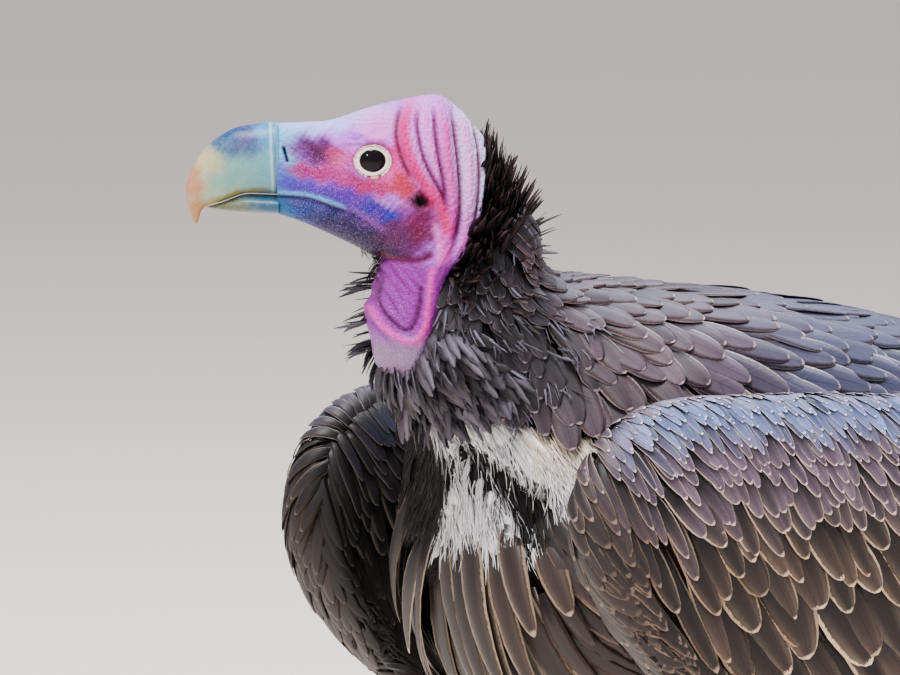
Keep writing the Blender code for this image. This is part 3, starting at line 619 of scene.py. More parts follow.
f, u, covered = (read(skin, title) for title in ("fwd", "high", "coat"))
SKIN_PATCHES = (
    (58, 12, 24, 26, 0, vivid(168, 222, 255), 1.0),  # cere
    (54, -12, 22, 12, 8, vivid(120, 136, 200), 0.9),
    (20, 24, 30, 8, -10, vivid(198, 206, 255), 0.9),
    (-8, 22, 18, 8, 6, vivid(236, 176, 226), 0.7),
    (34, 4, 17, 10, 20, vivid(140, 76, 160), 0.9),  # lores
    (27, 4, 15, 7.5, 18, vivid(84, 22, 72), 0.95),
    (15, 0, 11, 8, 0, vivid(216, 124, 160), 0.7),
    (34, -8, 14, 5, 8, vivid(190, 30, 140), 0.95),
    (14, -12, 17, 6, 22, vivid(200, 40, 144), 0.9),
    (-8, -13, 19, 8, -8, vivid(196, 2, 122), 0.95),  # under and behind the eye
    (-32, 5, 20, 34, 0, vivid(240, 184, 246), 0.75),
    (-17, 0, 7, 13, 0, vivid(248, 106, 180), 0.9),
    (-21, -14, 9, 9, 0, vivid(214, 24, 92), 0.90),
    (30, -19, 24, 6, 14, vivid(104, 84, 184), 0.9),  # the violet band over the gape
    (10, -23, 17, 7, 24, vivid(112, 74, 176), 0.9),
    (-6, -30, 13, 7, 30, vivid(84, 60, 168), 0.9),
    (34, -34, 32, 13, 12, vivid(74, 100, 160), 1.0),  # lower jaw
    (12, -44, 28, 14, 20, vivid(30, 36, 80), 1.0),
    (-6, -53, 20, 12, 10, vivid(22, 20, 62), 1.0),
    (-20, -43, 15, 13, 0, vivid(92, 22, 84), 0.95),  # cheek
    (-30, -38, 9, 11, 0, vivid(120, 30, 80), 0.85),
    (-13, -31, 5.5, 4.5, 0, vivid(80, 96, 200), 0.9),
    (-22, -30, 5, 4, 0, vivid(140, 66, 150), 0.6),
    (EAR[0] + 1, EAR[1] - 4, 9, 13, 0, vivid(120, 50, 96), 0.65),
    (EAR[0] - 1, EAR[1], 6.5, 8, 0, vivid(150, 46, 96), 0.8),
    (60, -31, 15, 13, 0, vivid(92, 134, 168), 0.85),
    (EAR[0] + 1, EAR[1], 5.0, 6.2, 0, vivid(70, 16, 50), 0.9),
    # the black middle is painted shade inside the ear's hollow
    (EAR[0], EAR[1], 3.2, 4.2, 0, rgb(14, 5, 10), 1.0),
)
look = blobs(f, u, vivid(210, 160, 240), SKIN_PATCHES)


def tint(colour, share, patch):
    """The colour moved towards the patch by that share."""
    share = np.clip(share, 0, 1)[:, None]
    return colour * (1 - share) + patch * share


back = eased((-44 - f) / 14) * eased((u + 45) / 25)
look = tint(look, 0.85 * back, vivid(226, 222, 250))
gone, share_on = off_line(f, u, FOLDS[0][0])
look = tint(look, 0.95 * np.exp(-((gone / 3.4) ** 2)) * eased((share_on + 0.15) / 0.4), vivid(228, 44, 120))
# Fold ridges on the face are painted pink, partly the skin's own colour and partly painted highlight. The grooves are
# painted dark purple as painted shade in the creases.
for line, height, half in FOLDS:
    gone, share_on = off_line(f, u, line)
    ends = np.clip(np.sin(math.pi * np.clip(share_on, 0.02, 0.98)) * 2.2, 0, 1)
    near = np.exp(-((gone / (half * (1.0 if height > 0 else 1.1))) ** 2)) * ends * np.clip(np.abs(height) / 1.3, 0, 1)
    face = f < 2
    if height > 0:
        look = tint(look, 0.70 * near * face, vivid(242, 104, 180) if height > 2.1 else vivid(246, 170, 226))
    else:
        look = tint(look, 0.98 * near * face, vivid(120, 0, 76))
throat = eased((-57 - u) / 6) * (1 - eased((-98 - u) / 18)) * (1 - covered)
look = tint(look, 0.90 * throat, vivid(150, 96, 160))
low_neck = eased((-98 - u) / 18) * (1 - covered)
look = tint(look, 0.95 * low_neck, rgb(128, 112, 134))
look = tint(look, 0.8 * eased((-124 - u) / 20) * (1 - covered), rgb(84, 72, 78))
gone, share_on = off_line(f, u, FOLDS[RIM][0])
look = tint(look, 0.90 * np.exp(-((gone / 1.6) ** 2)), vivid(232, 140, 200))
# Painted shade: a dark line in the groove under the throat flap's rim.
gone, share_on = off_line(f, u, FOLDS[RIM_GROOVE][0])
look = tint(look, 0.85 * np.exp(-((gone / 1.2) ** 2)), vivid(96, 20, 90))
stripe, share_on = off_line(f, u, ((59, -20), (37, -21.2), (22, -25.4), (11, -29)))
look = tint(look, 0.75 * np.exp(-((stripe / 1.3) ** 2)) * (1 - eased((share_on - 0.7) / 0.3)), vivid(150, 200, 236))
stripe, share_on = off_line(f, u, ((60, -22.5), (37, -23.7), (22, -28.1), (11, -31.8)))
look = tint(look, 0.90 * np.exp(-((stripe / 1.0) ** 2)) * (1 - eased((share_on - 0.75) / 0.25)), rgb(18, 24, 48))
# Painted shade: a dark reddish line over the eye, under the brow.
brow, share_on = off_line(f, u, ((20, 7.6), (10, 9.4), (0, 10.0), (-9, 9.0), (-15, 5.5)))
look = tint(look, 0.70 * np.exp(-((brow / 0.9) ** 2)) * np.sin(math.pi * np.clip(share_on, 0, 1)), vivid(96, 30, 64))
# Painted shade: the nostril's slit is painted near black, inside the opening.
slit, _ = off_line(f, u, NOSTRIL)
look = tint(look, np.exp(-((slit / 0.95) ** 4)), rgb(6, 8, 12))
rho = np.hypot((f + 2.5) / 9.5, u / 8.3)
look = tint(look, np.exp(-((rho - 1.22) / 0.08) ** 2) * 0.7, vivid(170, 40, 80))
look = tint(look, 1 - eased((rho - 1.12) / 0.06), rgb(250, 234, 224))
look = tint(look, 1 - eased((rho - 0.80) / 0.04), rgb(8, 6, 8))
# Painted shade: the skin under the feathers and the wing's arm under its coverts are painted dark brown-grey, so the
# gaps between feathers read as shadow. The shanks and feet get the grey of their scales.
shade_under_coat = np.maximum(covered * (f > LIMB + 1), f < LIMB - 1)
for share, colour in ((shade_under_coat, rgb(44, 36, 36)), (np.abs(u - WING) < 1, rgb(44, 36, 36)),
                      (np.abs(u - LEG_MARK) < 1, rgb(108, 120, 138))):
    look = tint(look, share.astype(float), colour)
carry(skin, "look", look)
# Pale specks on the bare skin: partly the skin's own pale flecks, partly painted glints off its pebbled surface.
speck = (1 - covered) * (f > -200) * (0.30 + 0.70 * eased((f + 26) / 20) * eased((8 - u) / 10))
carry(skin, "speck", speck * eased((58 - f) / 20))

skin_look, shader = new_look("bare_skin")


def add_node(kind, **settings):
    """A node of the current material, with its plain settings and input values."""
    made = nodes.new(kind)
    for key, value in settings.items():
        if key in made.bl_rna.properties:
            setattr(made, key, value)
        else:
            made.inputs[key.replace("_", " ")].default_value = value
    return made


def feed(socket, value):
    """Links a node's output into a socket, or sets the socket to a plain value."""
    if hasattr(value, "node"):
        links.new(value, socket)
    else:
        socket.default_value = value


def blend_colours(share, first, second, mode="MIX"):
    """A node that blends two colours by a share. Each is a socket or a plain value."""
    made = add_node("ShaderNodeMix", data_type="RGBA", blend_type=mode)
    for number, value in ((0, share), (6, first), (7, second)):
        feed(made.inputs[number], value)
    return made.outputs[2]


def ramp(value, low, high):
    """A socket's value mapped from low..high to 0..1, clamped."""
    made = nodes.new("ShaderNodeMapRange")
    made.inputs["From Min"].default_value, made.inputs["From Max"].default_value = low, high
    links.new(value, made.inputs["Value"])
    return made.outputs["Result"]


def calc(kind, a, b):
    """A node that works out one operation on two sockets or numbers."""
    made = add_node("ShaderNodeMath", operation=kind)
    feed(made.inputs[0], a)
    feed(made.inputs[1], b)
    return made.outputs[0]


def product(a, b):
    """Two sockets, or a socket and a number, multiplied."""
    return calc("MULTIPLY", a, b)


def stored(title, output="Color"):
    """What the mesh stores for each point under a title."""
    return add_node("ShaderNodeAttribute", attribute_name=title).outputs[output]


def texture(kind, **settings):
    """The value of a Noise or Voronoi texture on Object coordinates."""
    made = add_node(f"ShaderNodeTex{kind}", **settings)
    links.new(add_node("ShaderNodeTexCoord").outputs["Object"], made.inputs["Vector"])
    return made.outputs["Distance" if kind == "Voronoi" else "Fac"]


def bumped(shader, height, strength, distance):
    """Gives a shader a bump from a height socket."""
    bump = add_node("ShaderNodeBump", Strength=strength, Distance=distance)
    links.new(height, bump.inputs["Height"])
    links.new(bump.outputs["Normal"], shader.inputs["Normal"])


grain, soft = texture("Noise", Scale=1300.0, Detail=3.0), texture("Noise", Scale=110.0, Detail=2.0)
pebbles, dots = texture("Voronoi", Scale=430.0), texture("Voronoi", Scale=900.0)
speck_in = stored("speck", "Fac")
# Pale specks added to the colour: partly the skin's flecks, partly painted glints.
pale = product(ramp(grain, 0.53, 0.67), speck_in)
mixed = blend_colours(pale, stored("look"), (0.16, 0.10, 0.19, 1), "ADD")
dark = product(product(ramp(dots, 0.35, 0.10), speck_in), 0.45)
mixed = blend_colours(dark, mixed, (0.06, 0.02, 0.10, 1))
mixed = blend_colours(product(ramp(soft, 0.35, 0.75), 0.35), mixed, (0.55, 0.30, 0.42, 1), "SOFT_LIGHT")
links.new(mixed, shader.inputs["Base Color"])
bumped(shader, calc("ADD", grain, pebbles), 0.85, 0.0011)
shader.inputs["Roughness"].default_value = 0.46
shader.inputs["Specular IOR Level"].default_value = 0.14
shader.inputs["Subsurface Weight"].default_value = 0.12
shader.inputs["Subsurface Radius"].default_value = (0.004, 0.0015, 0.001)
skin.data.materials.clear()
skin.data.materials.append(skin_look)
skin.data.polygons.foreach_set("material_index", np.zeros(len(skin.data.polygons), np.int32))
skin.data.polygons.foreach_set("use_smooth", np.full(len(skin.data.polygons), True))
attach(skin, "root")
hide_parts("head", "neck_upper", "neck_lower", "trunk", "rump", "lappet_left", "lappet_right",
            "thigh_left", "thigh_right", "tarsus_left", "tarsus_right", "foot_left", "foot_right",
            "wing_left_arm", "wing_right_arm")

# ================================================================ eyes
# Two smooth wet balls in the lids: a near-black pupil, a narrow dark-brown iris and a dark rim, as
# rings round the ball's pole.
def uv_parts(title):
    """The two coordinates of the piece's UV map of that title."""
    split = add_node("ShaderNodeSeparateXYZ")
    links.new(add_node("ShaderNodeUVMap", uv_map=title).outputs["UV"], split.inputs[0])
    return split.outputs["X"], split.outputs["Y"]


eye_look, shader = new_look("eye")
down = uv_parts("pole")[1]
brown = product(ramp(down, 0.215, 0.235), ramp(down, 0.30, 0.27))
links.new(blend_colours(brown, (0.004, 0.003, 0.004, 1), (0.040, 0.016, 0.008, 1)), shader.inputs["Base Color"])
shader.inputs["Roughness"].default_value = 0.06
shader.inputs["Specular IOR Level"].default_value = 0.14
for word, side in SIDES:
    pole = np.linspace(0, math.pi, 33)[:, None]
    turn = round_angles(48)[None]
    globe = np.stack([side * np.cos(pole) + 0 * turn, np.sin(pole) * np.cos(turn), np.sin(pole) * np.sin(turn)], -1)
    points = (globe * EYE_RADIUS * 0.985 + (EYE_OUT * side, EYE_Y, EYE_Z))[1:-1]
    ball = tube(f"eye_ball_{word}", turn_of(points, 1.0) + SHIFT, eye_look)
    layer = ball.data.uv_layers.new(name="pole")
    corner = np.empty(len(ball.data.loops), np.int32)
    ball.data.loops.foreach_get("vertex_index", corner)
    level = np.append(np.repeat(pole[1:-1, 0], 48), (0, math.pi)) / math.pi
    layer.data.foreach_set("uv", np.stack([0 * corner + 0.5, level[corner]], -1).astype(np.float32).ravel())
    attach(ball, "root")
    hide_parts(f"eye_{word}")

# ================================================================ bill
# The horny sheath of both halves: hooked above, narrow below. Blue over its base, greenish horn on
# the side, pink-brown along the front, tan at the tip and the cutting edge.
UPPER_BILL = np.array((  # millimetres ahead of and above the eye: top, bottom, half width
    (53, 20.6, 53, -22.3, 15.6), (56, 20.8, 56, -22.2, 15.9), (66, 19.6, 64, -21.8, 14.8), (79, 17.2, 73, -21.8, 13.8),
    (91, 10.5, 80, -24.0, 12.2), (100, 1.0, 87, -26.6, 10.2), (106, -10, 93, -28.2, 8.2),
    (108.5, -21, 98, -31.0, 5.8), (107, -31, 100, -35.0, 3.6), (103.5, -39.5, 101.5, -39.8, 0.8)))
LOWER_BILL = np.array((
    (53, -22.9, 53, -34.2, 12.9), (64, -22.4, 64, -33.6, 11.8), (73, -22.4, 74, -33.2, 10.6),
    (80, -24.6, 82, -32.6, 8.8), (87, -27.3, 89, -31.6, 6.0), (92.5, -28.9, 96, -30.2, 1.0)))
bill_look, shader = new_look("bill_horn")
grain = texture("Noise", Scale=230.0, Detail=6.0, Roughness=0.65)
flecks = texture("Noise", Scale=900.0, Detail=2.0)
mixed = blend_colours(product(ramp(grain, 0.45, 0.72), 0.10), stored("look"), (0.62, 0.74, 0.72, 1))
mixed = blend_colours(product(ramp(flecks, 0.60, 0.72), 0.10), mixed, (0.70, 0.80, 0.80, 1))
links.new(mixed, shader.inputs["Base Color"])
bumped(shader, grain, 0.12, 0.0006)
shader.inputs["Roughness"].default_value = 0.40
shader.inputs["Specular IOR Level"].default_value = 0.3
BILL_PATCHES = (
    (60, 0, 14, 26, 0, vivid(120, 164, 186), 0.9),
    (78, -6, 18, 13, -20, vivid(124, 156, 154), 0.9),
    (74, 14, 24, 13, -14, vivid(20, 60, 126), 1.0),
    (84, 10, 11, 6, -40, vivid(60, 96, 130), 0.8),
    (60, 16, 8, 9, 0, vivid(110, 160, 206), 0.75),
    (97, -1, 8, 13, -62, vivid(182, 168, 140), 0.7),
    (106, -14, 9, 15, -12, vivid(186, 140, 124), 0.95),
    (101, -34, 8, 9, 0, vivid(190, 150, 120), 0.95),
    (80, -23.5, 22, 3.2, -14, vivid(160, 140, 96), 0.75),
)
LOWER_BILL_PATCHES = (
    (56, -28, 22, 12, 0, vivid(70, 96, 120), 0.95),
    (88, -29, 20, 7, 0, vivid(92, 94, 78), 0.95),
)
for word, rows, rings, patches in (("upper", UPPER_BILL, 110, BILL_PATCHES),
                                   ("lower", LOWER_BILL, 60, LOWER_BILL_PATCHES)):
    at = np.linspace(0, 1, rings)
    rows = smooth_rows(rows, (len(rows) - 1) * (1 - (1 - at) ** 1.25))[:, None]
    turn = np.linspace(0, 2 * math.pi, 72, endpoint=False)[None]
    top_f, top_u, low_f, low_u, half = (rows[..., c] for c in range(5))
    power = 0.90 if word == "upper" else 1.0
    across = np.sign(np.sin(turn)) * np.abs(np.sin(turn)) ** power * half
    along = np.cos(turn)
    f = (top_f + low_f) / 2 + along * (top_f - low_f) / 2
    u = (top_u + low_u) / 2 + along * (top_u - low_u) / 2
    if word == "upper":
        step = np.exp(-(((f - 57.2 - 0.04 * (u + 2)) / 1.3) ** 2))
        across = across * (1 + 0.035 * step * (np.abs(along) < 0.97))
        edge = eased((-along - 0.80) / 0.12)
        across = across * (1 - 0.16 * edge)
    points = turn_of(np.stack([across, HEAD_Y - f / 1000, EYE_Z + u / 1000], -1) * (0.001, 1, 1), 1.0) + SHIFT
    horn = tube(f"bill_horn_{word}", points, bill_look)
    f_all = np.append(f.ravel(), (f[0].mean(), f[-1].mean()))
    u_all = np.append(u.ravel(), (u[0].mean(), u[-1].mean()))
    base = vivid(150, 166, 150) if word == "upper" else vivid(100, 116, 112)
    colour = blobs(f_all, u_all, base, patches, 0.6)
    if word == "upper":
        colour = tint(colour, 0.45 * np.exp(-(((f_all - 57.2 - 0.04 * (u_all + 2)) / 0.7) ** 2)), rgb(206, 222, 226))
        colour = tint(colour, 0.7 * np.exp(-(((f_all - 55.0 - 0.04 * (u_all + 2)) / 0.8) ** 2)), rgb(70, 100, 120))
    carry(horn, "look", colour)
    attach(horn, "root")
    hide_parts(f"bill_{word}")

# ================================================================ claws
# Dull black horn, one at the end of each toe, arched and running to a blunt point over the floor.
claw_look, shader = new_look("claw_horn")
grain = texture("Noise", Scale=160.0, Detail=4.0)
links.new(blend_colours(grain, (0.014, 0.012, 0.011, 1), (0.085, 0.070, 0.060, 1)), shader.inputs["Base Color"])
shader.inputs["Roughness"].default_value = 0.38
for word, side in SIDES:
    for toe, heading, long, half, claw_long in TOES:
        path, radius, ahead, _ = toe_path(side, heading, long, half, 60)
        t = np.linspace(0, 1, 28)
        line = path[-1] + ahead * (0.0006 + claw_long * np.sin(t * 1.45))[:, None]
        line[:, 2] = path[-1, 2] + 0.006 * np.sin(t * math.pi) - (path[-1, 2] - 0.0045) * t**2
        thin = radius[-1] * 0.80 * (1 - t) ** 0.75 + 0.0005
        rings = tube_rings(line, thin, thin * 0.8, 20, (0, 0, 1))
        rings[0] -= ahead * ((rings[0] - line[0]) @ ahead)[:, None]
        rings[..., 2] = np.maximum(rings[..., 2], 0.0005)
        claw = tube(f"claw_horn_{toe}_{word}", rings, claw_look)
        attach(claw, "root")
        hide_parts(f"claw_{toe}_{word}")

# ================================================================ wing coverts
# Small feathers in overlapping rows over both faces of each let-down wing, growing from the leading
# edge: narrow along the top with a grey-blue painted sheen, larger and brown with buff edges lower
# down. The inner faces and the far wing are darkened as painted shade.
SHAPES = {  # how narrow the root is, where the vane is widest, and how blunt its tip
    "scale": (0.45, 0.50, 2.8), "covert": (0.50, 0.50, 2.1), "lance": (0.35, 0.35, 1.6),
    "spike": (0.60, 0.25, 1.3), "wisp": (0.80, 0.20, 1.3), "quill": (0.35, 0.50, 5.0),
}


def vane_width(shape, along):
    """A vane's half width as a share of its widest: it widens from the root by a sine, then narrows to
    the tip by (1 - x^blunt)^0.5, where x runs from the widest place to the tip."""
    root, widest, blunt = SHAPES[shape]
    rise = root + (1 - root) * np.sin(np.clip(along / widest, 0, 1) * math.pi / 2)
    fall = np.clip((along - widest) / (1 - widest), 0, 0.999)
    return rise * (1 - fall**blunt) ** 0.5


def plume_look(name, rim, shine, root_shade=0.75):
    """A feather's look: a centre and an edge colour of its own, an edge beyond the share rim of the half
    width and at the tip, a root darkened by the last argument as painted shade under the feathers
    over it, a dark shaft, and barbs as fine slanting streaks."""
    made, shader = new_look(name)
    across, along = uv_parts("vane")
    wide = calc("ABSOLUTE", calc("SUBTRACT", calc("MULTIPLY", across, 2.0), 1.0), 0.0)
    tip = calc("SUBTRACT", calc("MULTIPLY", along, 4.0), 3.0)
    barbs = add_node("ShaderNodeCombineXYZ")
    links.new(calc("ADD", calc("MULTIPLY", along, 60.0), calc("MULTIPLY", wide, -9.0)), barbs.inputs[0])
    links.new(stored("seed", "Fac"), barbs.inputs[1])
    fine = add_node("ShaderNodeTexNoise", Scale=1.0, Detail=2.0)
    links.new(barbs.outputs[0], fine.inputs["Vector"])
    ragged = calc("MULTIPLY", calc("SUBTRACT", fine.outputs["Fac"], 0.5), 0.25)
    outer = calc("ADD", calc("MAXIMUM", wide, tip), ragged)
    edge = stored("edge")
    colour = blend_colours(product(ramp(wide, 0.30, 0.90), 0.16), stored("centre"), edge)
    # The first blend is painted shade at the root, where the feathers over it would cast shadow.
    for share, over in ((product(ramp(along, 0.88, 0.35), root_shade), (0.004, 0.003, 0.004, 1)),
                        (product(ramp(fine.outputs["Fac"], 0.42, 0.62), 0.30), (0.010, 0.008, 0.008, 1)),
                        (product(ramp(wide, 0.07, 0.02), 0.50), (0.006, 0.005, 0.005, 1)),
                        (product(ramp(outer, rim, rim + 0.08), 0.95), edge)):
        colour = blend_colours(share, colour, over)
    links.new(colour, shader.inputs["Base Color"])
    shader.inputs["Roughness"].default_value = 0.50
    shader.inputs["Specular IOR Level"].default_value = shine
    return made


def stack(*parts):
    """Joins several lists of feathers, each a dictionary of arrays with one row for each feather."""
    return {key: np.concatenate([part[key] for part in parts]) for key in parts[0]}


def steps(rows):
    """Shares of a vane's length for its rows, closer together towards the tip."""
    return 1 - (1 - np.linspace(0, 1, rows)) ** 1.8


def make_vanes(name, look_, shape, kinds, columns, ragged=0.0):
    """One object of closed thin vanes. Each has a centreline with normals, a half width, an arch (its
    middle stands this share of the half width over its edges), a roll, two colours and a bake place.
    A cross-section is a low roof of some columns over a flat vee."""
    line, up = kinds["line"], unit(kinds["up"])
    count, rows = line.shape[:2]
    along = steps(rows)
    profile = vane_width(shape, along)
    way = unit(np.gradient(line, axis=1))
    across = unit(np.cross(way, up))
    up = np.cross(across, way)
    spread = np.linspace(-1, 1, columns)
    half = kinds["half"][:, None] * profile
    torn = 1 + np.reshape(ragged, (-1, 1, 1)) * chance.normal(0, 1, (count, rows, columns)) * (np.abs(spread) > 0.9)
    off = spread * torn * half[..., None]
    high = (1 - spread**2) * (kinds["arch"][:, None] * half)[..., None] + kinds["roll"][:, None, None] * off
    top = line[:, :, None] + across[:, :, None] * off[..., None] + up[:, :, None] * high[..., None]
    low = line + up * (kinds["arch"][:, None] * half - 0.0002 - 0.04 * half)[..., None]
    points = np.concatenate([top, low[:, :, None]], 2).reshape(-1, 3)
    size = columns + 1
    at = np.arange(count * rows * size).reshape(count, rows, size)
    a, b = at[:, :-1], at[:, 1:]
    quads = np.stack([a, b, np.roll(b, -1, 2), np.roll(a, -1, 2)], -1).reshape(-1, 4)
    caps = np.concatenate([at[:, 0], at[:, -1, ::-1]])
    corners = np.concatenate([quads.ravel(), caps.ravel()]).astype(np.int32)
    starts = np.concatenate([np.arange(len(quads)) * 4, quads.size + np.arange(len(caps)) * size])
    mesh = bpy.data.meshes.new(name)
    mesh.vertices.add(len(points))
    mesh.vertices.foreach_set("co", points.astype(np.float32).ravel())
    mesh.loops.add(len(corners))
    mesh.loops.foreach_set("vertex_index", corners)
    mesh.polygons.add(len(starts))
    mesh.polygons.foreach_set("loop_start", starts.astype(np.int32))
    mesh.polygons.foreach_set("use_smooth", np.full(len(starts), True))
    mesh.update(calc_edges=True)
    made = bpy.data.objects.new(name, mesh)
    bpy.context.scene.collection.objects.link(made)
    u = np.broadcast_to(np.append((spread + 1) / 2, 0.5), (count, rows, size)).reshape(-1)
    t = np.broadcast_to(along[None, :, None], (count, rows, size)).reshape(-1)
    for title, values in (("vane", np.stack([u, t], -1)),
                          ("OFBake", np.repeat(kinds["root"], rows * size, 0) + 0.003 * np.stack([u, t], -1))):
        layer = mesh.uv_layers.new(name=title)
        layer.data.foreach_set("uv", values[corners].astype(np.float32).ravel())
    for title in ("centre", "edge"):
        carry(made, title, np.repeat(kinds[title], rows * size, 0))
    carry(made, "seed", np.repeat(chance.uniform(0, 90, count), rows * size))
    mesh.materials.append(look_)
    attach(made, "root")
    return made


def across_surface(surface, a, b, heading, long, away_from, rise, rows=7):
    """Centrelines that lie on a surface of two parameters. Each starts at (a, b) and runs for its
    length at a heading: 0 along the first parameter, 90 degrees towards the second. rise gives the
    height over the surface at shares of the length. Returns the lines and the surface's normals, which
    point away from a place inside."""
    step = 1e-3
    here = surface(a, b)
    by_a, by_b = (surface(a + step, b) - here) / step, (surface(a, b + step) - here) / step
    first = unit(by_a)
    normal = unit(np.cross(by_a, by_b))
    second = np.cross(normal, first)
    way = first * np.cos(heading)[:, None] + second * np.sin(heading)[:, None]
    aa, ab, bb = (np.sum(p * q, -1) for p, q in ((by_a, by_a), (by_a, by_b), (by_b, by_b)))
    wa, wb = np.sum(way * by_a, -1), np.sum(way * by_b, -1)
    scale = np.maximum(aa * bb - ab * ab, 1e-12)
    da, db = (wa * bb - wb * ab) / scale, (wb * aa - wa * ab) / scale
    t = steps(rows)
    at_a, at_b = a[:, None] + (da * long)[:, None] * t, b[:, None] + (db * long)[:, None] * t
    points = surface(at_a, at_b)
    side_a, side_b = surface(at_a + step, at_b) - points, surface(at_a, at_b + step) - points
    up = unit(np.cross(side_a, side_b))
    up *= np.sign(np.sum(up * (points - away_from), -1).mean(1) + 1e-9)[:, None, None]
    return points + up * rise(t)[..., None], up


def shades(count, low, high):
    """A colour for each feather, somewhere between two."""
    share = chance.uniform(0, 1, count)[:, None]
    return low * (1 - share) + high * share


def varied(colours, amount):
    """The colours, each made lighter or darker by a random share."""
    return np.clip(colours * (1 + chance.normal(0, amount, len(colours)))[:, None], 0.002, 0.95)


NOSE = 0.021  # half the thickness of the wing where its rounded leading edge ends


def nose_of(s):
    """The leading edge is half an ellipse: how deep it is down the wing, and its quarter length."""
    deep = 0.21 * coverts_depth(s)
    return deep, math.pi / 2 * np.sqrt((deep * deep + NOSE * NOSE) / 2)


def wing(side, inset=0.0028):
    """The wing as one surface of (q, s): q runs round the leading edge in metres, from the inner face
    (below 0) to the outer face (above 0)."""
    def surface(q, s):
        deep, quarter = nose_of(s)
        angle = np.clip(np.abs(q) / quarter, 0, 1) * math.pi / 2
        past = np.maximum(np.abs(q) - quarter, 0)
        reach = deep * (1 - np.cos(angle)) + past
        share = reach / coverts_depth(s)
        out = np.where(past > 0, np.interp(share, (0.21, 0.30, 0.60, 1.0, 1.6), (NOSE, 0.0220, 0.0155, 0.0085, 0.006)),
                       NOSE * np.sin(angle))
        y, z = down_wing(s, reach)
        return sheet_point(y, z, np.sign(q) * (out - inset * np.sin(angle)) * slimmer(s), side)
    return surface


def wing_rows(face, last_share, pitch_of, half_of, first=0.0):
    """Staggered places (s, q) down one face of a wing: rows pitch_of(q) apart, 1.5 half widths between
    feathers of a row, each moved a little by chance."""
    places, q, row = [], first, 0
    fine = np.linspace(0.02, HAND_END - 0.02, 500)
    while q < 0.20:
        run = wing(1)(np.full_like(fine, q), fine)
        run = np.append(0, np.cumsum(np.linalg.norm(np.diff(run, axis=0), axis=1)))
        step = 1.50 * half_of(q)
        at = np.interp(np.arange(0.25 + 0.5 * (row % 2), run[-1] / step) * step, run, fine)
        deep_at, quarter_at = nose_of(at)
        keep = q - quarter_at + deep_at < last_share * coverts_depth(at)
        jolt = pitch_of(q) * chance.normal(0, 0.16, len(at))
        places.append(np.stack([at, np.full(len(at), q) + jolt], -1)[keep])
        q, row = q + pitch_of(q), row + 1
    return (np.concatenate(places) * (1, face)).T


def down_lines(side, face, q, s_at, heading, long, rows):
    """Centrelines that start at places (q, s) of a wing and run down one face of it, turned by the
    heading towards the wing's end. They rise off it with a power of the way. Returns the surface's
    normals too."""
    t = steps(rows)
    heading = heading + chance.normal(0, 0.09, len(q))
    spread = np.linalg.norm(wing(side)(q, s_at + 1e-3) - wing(side)(q, s_at), axis=1) * 1e3
    at_q = q[:, None] + face * (long * np.cos(heading))[:, None] * t
    at_s = np.clip(s_at[:, None] + (long * np.sin(heading) / np.maximum(spread, 0.012))[:, None] * t, 0, HAND_END)
    surface = wing(side)
    points = surface(at_q, at_s)
    up = unit(np.cross(surface(at_q + 1e-3, at_s) - points, surface(at_q, at_s + 1e-3) - points))
    up *= np.sign(np.mean(up[..., 0] * side * np.sign(at_q)))
    up *= np.where(up[..., 0] * side * np.sign(at_q) < -0.3, -1, 1)[..., None]
    lift = (0.0048 + 0.0026 * eased((s_at - 4.3) / 1.2))[:, None] * t**0.7
    return points + up * (0.0002 + lift)[..., None], up


